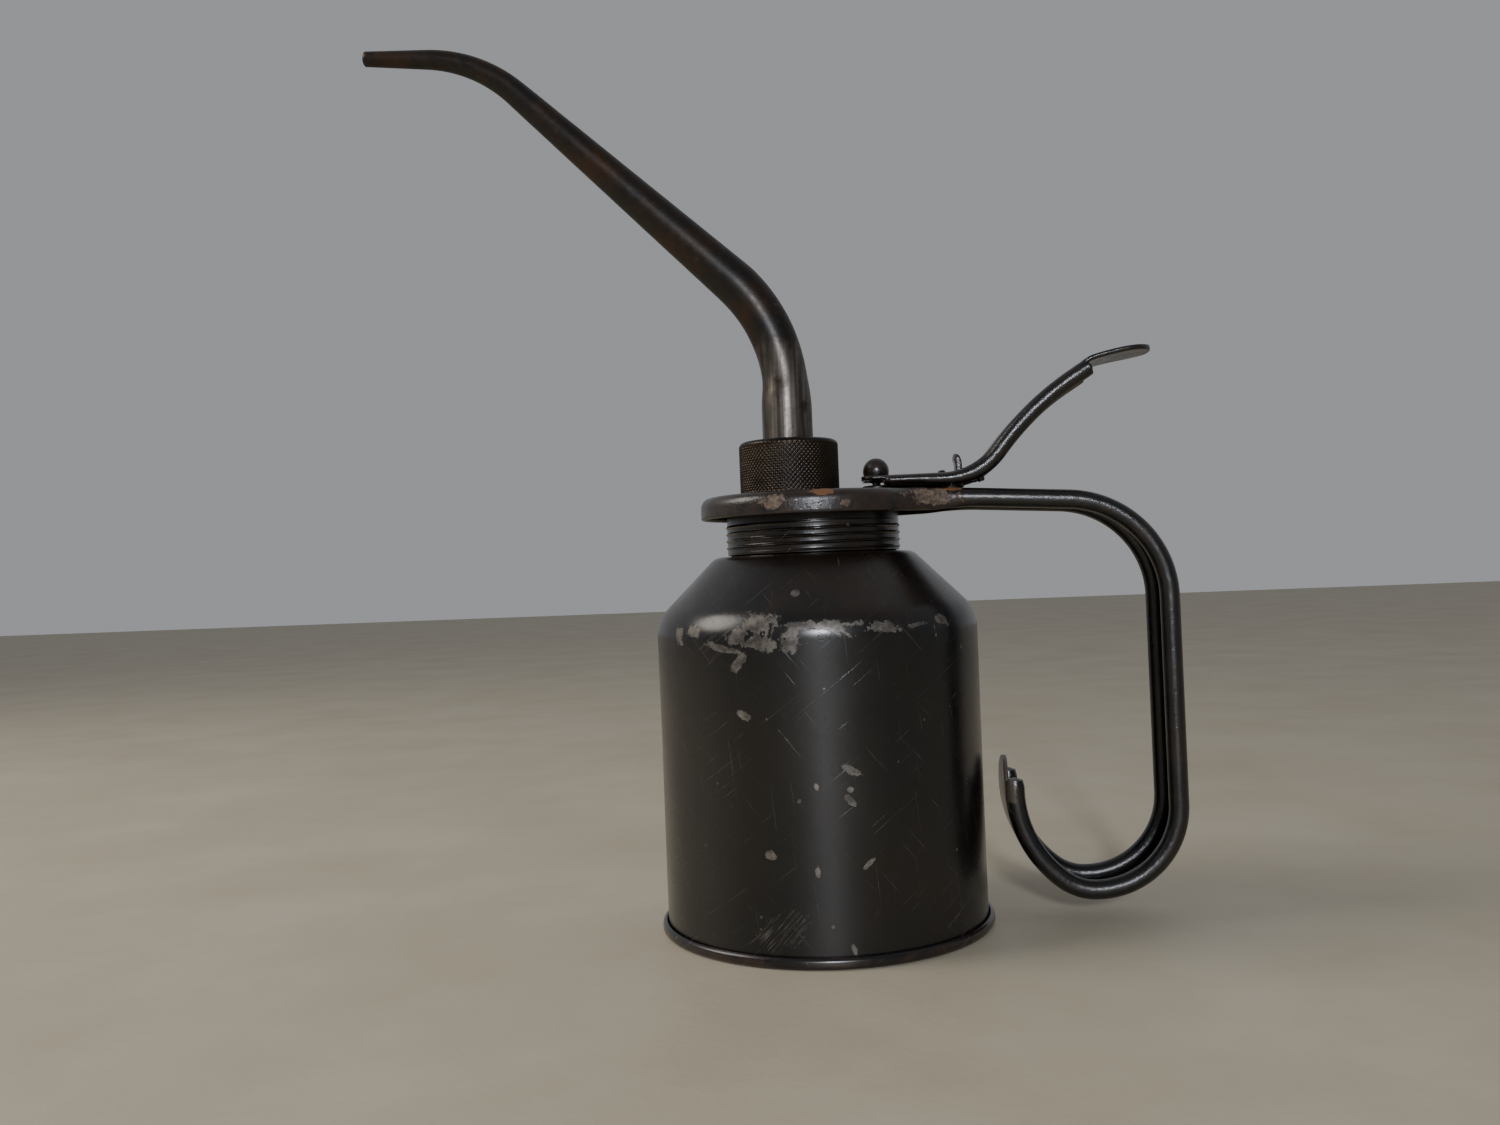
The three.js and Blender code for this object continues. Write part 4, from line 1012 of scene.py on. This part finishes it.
lever = Shape()
marks = lever_path.stations(0.0, lever_path.length, 3 * DEG, 0.8)
marks += [edge for near in (0.06, 0.2, 0.45) for edge in (near, lever_path.length - near)]
marks += [SLOT_END + SLOT_HALF * s for s in (0.25, 0.5, 0.7, 0.85, 0.94, 0.98, 1.0)]
marks += [edge + d for edge in HOOK_HOLE for d in (-0.001, 0.001)]
marks = sorted(set(round(m, 4) for m in marks))
outline = bead_section(LEVER_BEAD)
for side in (-1, 1):
    half_rows = []
    for distance in marks:
        sheet = LEVER_SHEET * (0.8 if distance < LEVER_BEAD_START else 1.0)
        section = flat_section(lever_inner(distance), lever_outer(distance), sheet)
        half_rows.append([lever_path.place(distance, side * w, u) for w, u in section])
    lever.grid(half_rows, ring=True, ends=True)
    bead_rows = []
    for distance in lever_path.stations(LEVER_BEAD_START, LEVER_BEAD_END, 3 * DEG, 0.7):
        near_end = min(distance - LEVER_BEAD_START, LEVER_BEAD_END - distance)
        shrink = max(math.sqrt(0.1), rounding(near_end, 0.9))
        wear = 0.05 * noise.noise(Vector((distance * 0.4, side * 3.0, 5.0)))
        section = blend(np.array([-LEVER_BEAD, -LEVER_BEAD]), outline, shrink)
        depth = lever_depth(distance)
        bead_rows.append([
            lever_path.place(distance, side * (LEVER_HALF + a + wear), b * depth) for a, b in section
        ])
    lever.grid(bead_rows, ring=True, ends=True)
# hardened oil in front of the hook and at the heel
lump(lever, (30.7, -3.2, LEVER_TOP + 0.1), (0.95, 1.9, 0.7), 11.0, 0.25)
lump(lever, (39.4, -5.5, LEVER_TOP - 1.55), (0.8, 0.9, 1.0), 14.0)
lump(lever, (37.6, -6.0, LEVER_TOP - 2.1), (1.3, 1.2, 0.5), 17.0)
piece("lever_arm", lever, "lever", hand_japan, ["thumb_lever"], 45)

# -------------------- ball on the plunger

ball_radius = (BALL_HIGH.x - BALL_LOW.x) / 2
ball_z = BALL_HIGH.z - ball_radius
ball = Shape()
lump(ball, (PUMP_X, 0, ball_z), (ball_radius * 0.985,) * 3, 21.0, 0.03)
piece("plunger_ball", ball, "plunger", hand_japan, ["ball_knob"])

GLAND_BORE, GLAND_NECK, GLAND_HEAD = 1.3, 2.15, 3.4
gland_profile = softened([
    (GLAND_BORE, GLAND_LOW.z),
    (GLAND_NECK, GLAND_LOW.z),
    (GLAND_NECK, PLATE_TOP + GAP),
    (GLAND_HEAD, PLATE_TOP + GAP),
    (GLAND_HEAD, GLAND_HIGH.z - 0.2),
    (GLAND_HEAD - 0.4, GLAND_HIGH.z),
    (GLAND_BORE, GLAND_HIGH.z),
    (GLAND_BORE, GLAND_LOW.z),
], 0.2)
gland = Shape().grid(turned(gland_profile[:-1], 48, PUMP_X), ring=True, loop=True)
piece("gland_collar", gland, "cap", dull_steel, ["gland_nut"])

# -------------------- knurled nut

NUT_RADIUS = NUT_HIGH.x - SPOUT_X
KNURLS = 72  # grooves of each hand round the nut, about a millimetre apart
KNURL_DEPTH = 0.3
KNURL_RISE = 1.15  # height of one diamond
NUT_EDGE = 1.4
NUT_INNER, NUT_HOLE, NUT_ROOF = 9.5, 6.6, 2
NUT_COLUMNS = KNURLS * 6
NUT_RINGS = 72


def knurled(angle_share, z):
    """How far a point of the nut's side lies below the tips of its diamonds."""
    left = (KNURLS * angle_share + z / KNURL_RISE) % 1
    right = (KNURLS * angle_share - z / KNURL_RISE) % 1
    flank = min(1 - abs(2 * left - 1), 1 - abs(2 * right - 1))
    return KNURL_DEPTH * (1 - min(1.0, flank * 1.35))


def nut_row(radius, z):
    """One ring of the nut. The knurl fades out at its ends."""
    fade = ramp(z, NUT_LOW.z + 0.15, NUT_LOW.z + 0.7) * (1 - ramp(z, NUT_HIGH.z - 1.5, NUT_HIGH.z - 0.7))
    row = []
    for i in range(NUT_COLUMNS):
        share = i / NUT_COLUMNS
        out = radius - fade * knurled(share, z)
        row.append((SPOUT_X + out * math.cos(TURN * share), out * math.sin(TURN * share), z))
    return row


nut_foot = NUT_LOW.z + 0.5
nut_shoulder = NUT_HIGH.z - NUT_EDGE
nut_rows = [
    nut_row(NUT_INNER, NUT_LOW.z),
    nut_row(NUT_RADIUS - 0.5, NUT_LOW.z),
    nut_row(NUT_RADIUS - 0.1, NUT_LOW.z + 0.2),
]
nut_rows += [nut_row(NUT_RADIUS, blend(nut_foot, nut_shoulder, i / NUT_RINGS)) for i in range(NUT_RINGS + 1)]
for degrees in (12, 24, 36, 48, 60, 75, 90):
    angle = degrees * DEG
    nut_rows.append(nut_row(NUT_RADIUS - NUT_EDGE + NUT_EDGE * math.cos(angle),
                            nut_shoulder + NUT_EDGE * math.sin(angle)))
nut_rows += [
    nut_row(NUT_HOLE + 0.15, NUT_HIGH.z),
    nut_row(NUT_HOLE, NUT_HIGH.z - 0.15),
    nut_row(NUT_HOLE, NUT_HIGH.z - NUT_ROOF),
    nut_row(NUT_INNER, NUT_HIGH.z - NUT_ROOF),
]
nut = Shape().grid(nut_rows, ring=True, loop=True)
piece("knurled_nut", nut, "nut", nut_brass, ["spout_nut"], 60)

# -------------------- spout

spout_path = (
    BentPath(SPOUT_X, SPOUT_LOW.z, 90 * DEG)
    .run(14.7)
    .bend(38.7, 46.3 * DEG)
    .run(70.6)
    .bend(36, 38.8 * DEG)
    .run(15.8)
)
SPOUT_WALL = 0.6
SPOUT_FOOT, SPOUT_TUBE, SPOUT_TIP = 6.0, 5.35, 1.8  # radii
TAPER_START = 44
SPOUT_SIDES = 64


def spout_radius(distance):
    """A wide foot, a plain tube, then an even taper."""
    if distance < TAPER_START:
        return blend(SPOUT_FOOT, SPOUT_TUBE, ramp(distance, 11, 20))
    return blend(SPOUT_TUBE, SPOUT_TIP, (distance - TAPER_START) / (spout_path.length - TAPER_START))


def spout_ring(distance, radius):
    return [spout_path.place(distance, across, up) for up, across in circle(radius, SPOUT_SIDES)]


spout_marks = spout_path.stations(0.0, spout_path.length - 0.25, 2 * DEG, 1.2)
tip_radius = spout_radius(spout_path.length)
spout_rows = [spout_ring(0.0, SPOUT_FOOT - SPOUT_WALL)]
for distance in spout_marks:
    ripple = 0.03 * noise.noise(Vector((distance * 0.15, 1.0, 4.0)))
    spout_rows.append(spout_ring(distance, spout_radius(distance) + ripple))
spout_rows.append(spout_ring(spout_path.length, tip_radius - 0.25))
spout_rows.append(spout_ring(spout_path.length, tip_radius - SPOUT_WALL + 0.1))
for distance in reversed(spout_marks[1:]):
    spout_rows.append(spout_ring(distance, spout_radius(distance) - SPOUT_WALL))
spout = Shape().grid(spout_rows, ring=True, loop=True)
piece("spout_pipe", spout, "spout", spout_steel, ["spout_tube"], 50)

# -------------------- springs


WIRE = 0.2  # radius of the springs' wire


def spring(name, node, turns):
    """A coil spring in the space of its CAD sleeve."""
    low, high = box(node)
    x = (low.x + high.x) / 2
    coil = (high.x - low.x) / 2 - WIRE
    steps = turns * 24
    rows = []
    for i in range(steps + 1):
        angle = TURN * turns * i / steps
        z = blend(low.z + WIRE, high.z - WIRE, i / steps)
        row = circle(WIRE, 10, coil)
        rows.append([(x + out * math.cos(angle), out * math.sin(angle), z + up) for out, up in row])
    coils = Shape().grid(rows, ring=True, ends=True)
    made = piece(name, coils, "cap", ground_steel, [node])
    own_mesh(made)


spring("return_spring", "pump_spring", 20)
spring("delivery_spring", "outlet_spring", 4)

# -------------------- finishes of the pieces kept from the CAD

kept = {
    pump_brass: ["pump_head", "pump_barrel", "inlet_seat", "suction_tube", "piston", "piston_nut",
                 "spout_boss"],
    ground_steel: ["plunger_rod", "inlet_ball", "outlet_ball"],
    dull_steel: ["spout_ferrule"],
    fibre: ["cap_gasket", "head_gasket", "gland_packing", "spout_washer"],
    leather: ["piston_cup"],
}
for material, names in kept.items():
    for name in names:
        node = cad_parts[name]
        node.data.materials.clear()
        node.data.materials.append(material)

# -------------------- floor, light and camera

FLOOR = 2.5  # half its width, in metres
corners = [(-FLOOR, -FLOOR, 0), (FLOOR, -FLOOR, 0), (FLOOR, FLOOR, 0), (-FLOOR, FLOOR, 0)]
floor_mesh = bpy.data.meshes.new("shelf")
floor_mesh.from_pydata(corners, [], [(0, 1, 2, 3)])
floor_mesh.materials.append(shelf_paint("shelf_paint"))
floor = bpy.data.objects.new("shelf", floor_mesh)
bpy.context.scene.collection.objects.link(floor)

# a plain studio: pale behind the can, dimmer on the side that the lamps come from
world = bpy.data.worlds.new("studio")
world.use_nodes = True
bpy.context.scene.world = world
studio = functools.partial(add_node, world.node_tree)
direction = studio("SeparateXYZ", {"Vector": studio("TexCoord").outputs["Generated"]})
background = world.node_tree.nodes["Background"]
background.inputs["Color"].default_value = colour("#e2e4e8")
DIM, PALE = 0.2, 0.42
glow = studio("MapRange", {0: direction.outputs["Y"], 1: -0.7, 2: 0.5, 3: DIM, 4: PALE})
world.node_tree.links.new(glow.outputs[0], background.inputs["Strength"])


def lamp(name, at, aim, size, power, tint):
    light = bpy.data.lights.new(name, "AREA")
    light.shape = "DISK"
    light.size = size
    light.energy = power
    light.color = colour(tint)[:3]
    made = bpy.data.objects.new(name, light)
    made.location = at
    made.rotation_euler = (Vector(aim) - Vector(at)).to_track_quat("-Z", "Y").to_euler()
    made.visible_camera = False
    bpy.context.scene.collection.objects.link(made)


lamp("overhead", (-0.72, -0.12, 0.55), (0, 0, 0.03), 0.5, 3.6, "#fff8ee")
lamp("front", (0.09, -1.0, 0.34), (0, 0, 0.09), 0.1, 6.5, "#f2f6ff")

camera_data = bpy.data.cameras.new("camera")
camera_data.lens = 30.74
camera_data.sensor_width = 36
camera_data.clip_start = 0.01
camera = bpy.data.objects.new("camera", camera_data)
eye = Vector((14.06, -304.38, 83.57)) * MM
swing, pitch, roll = 5.5 * DEG, -0.36 * DEG, -2.27 * DEG
level = Vector((-math.sin(swing), math.cos(swing), 0))
forward = level * math.cos(pitch) - Vector((0, 0, math.sin(pitch)))
right = Vector((math.cos(swing), math.sin(swing), 0))
up = right.cross(forward)
rolled_right = right * math.cos(roll) + up * math.sin(roll)
rolled_up = up * math.cos(roll) - right * math.sin(roll)
turn = Matrix((rolled_right, rolled_up, -forward)).transposed()
camera.matrix_world = Matrix.Translation(eye) @ turn.to_4x4()
bpy.context.scene.collection.objects.link(camera)
bpy.context.scene.camera = camera
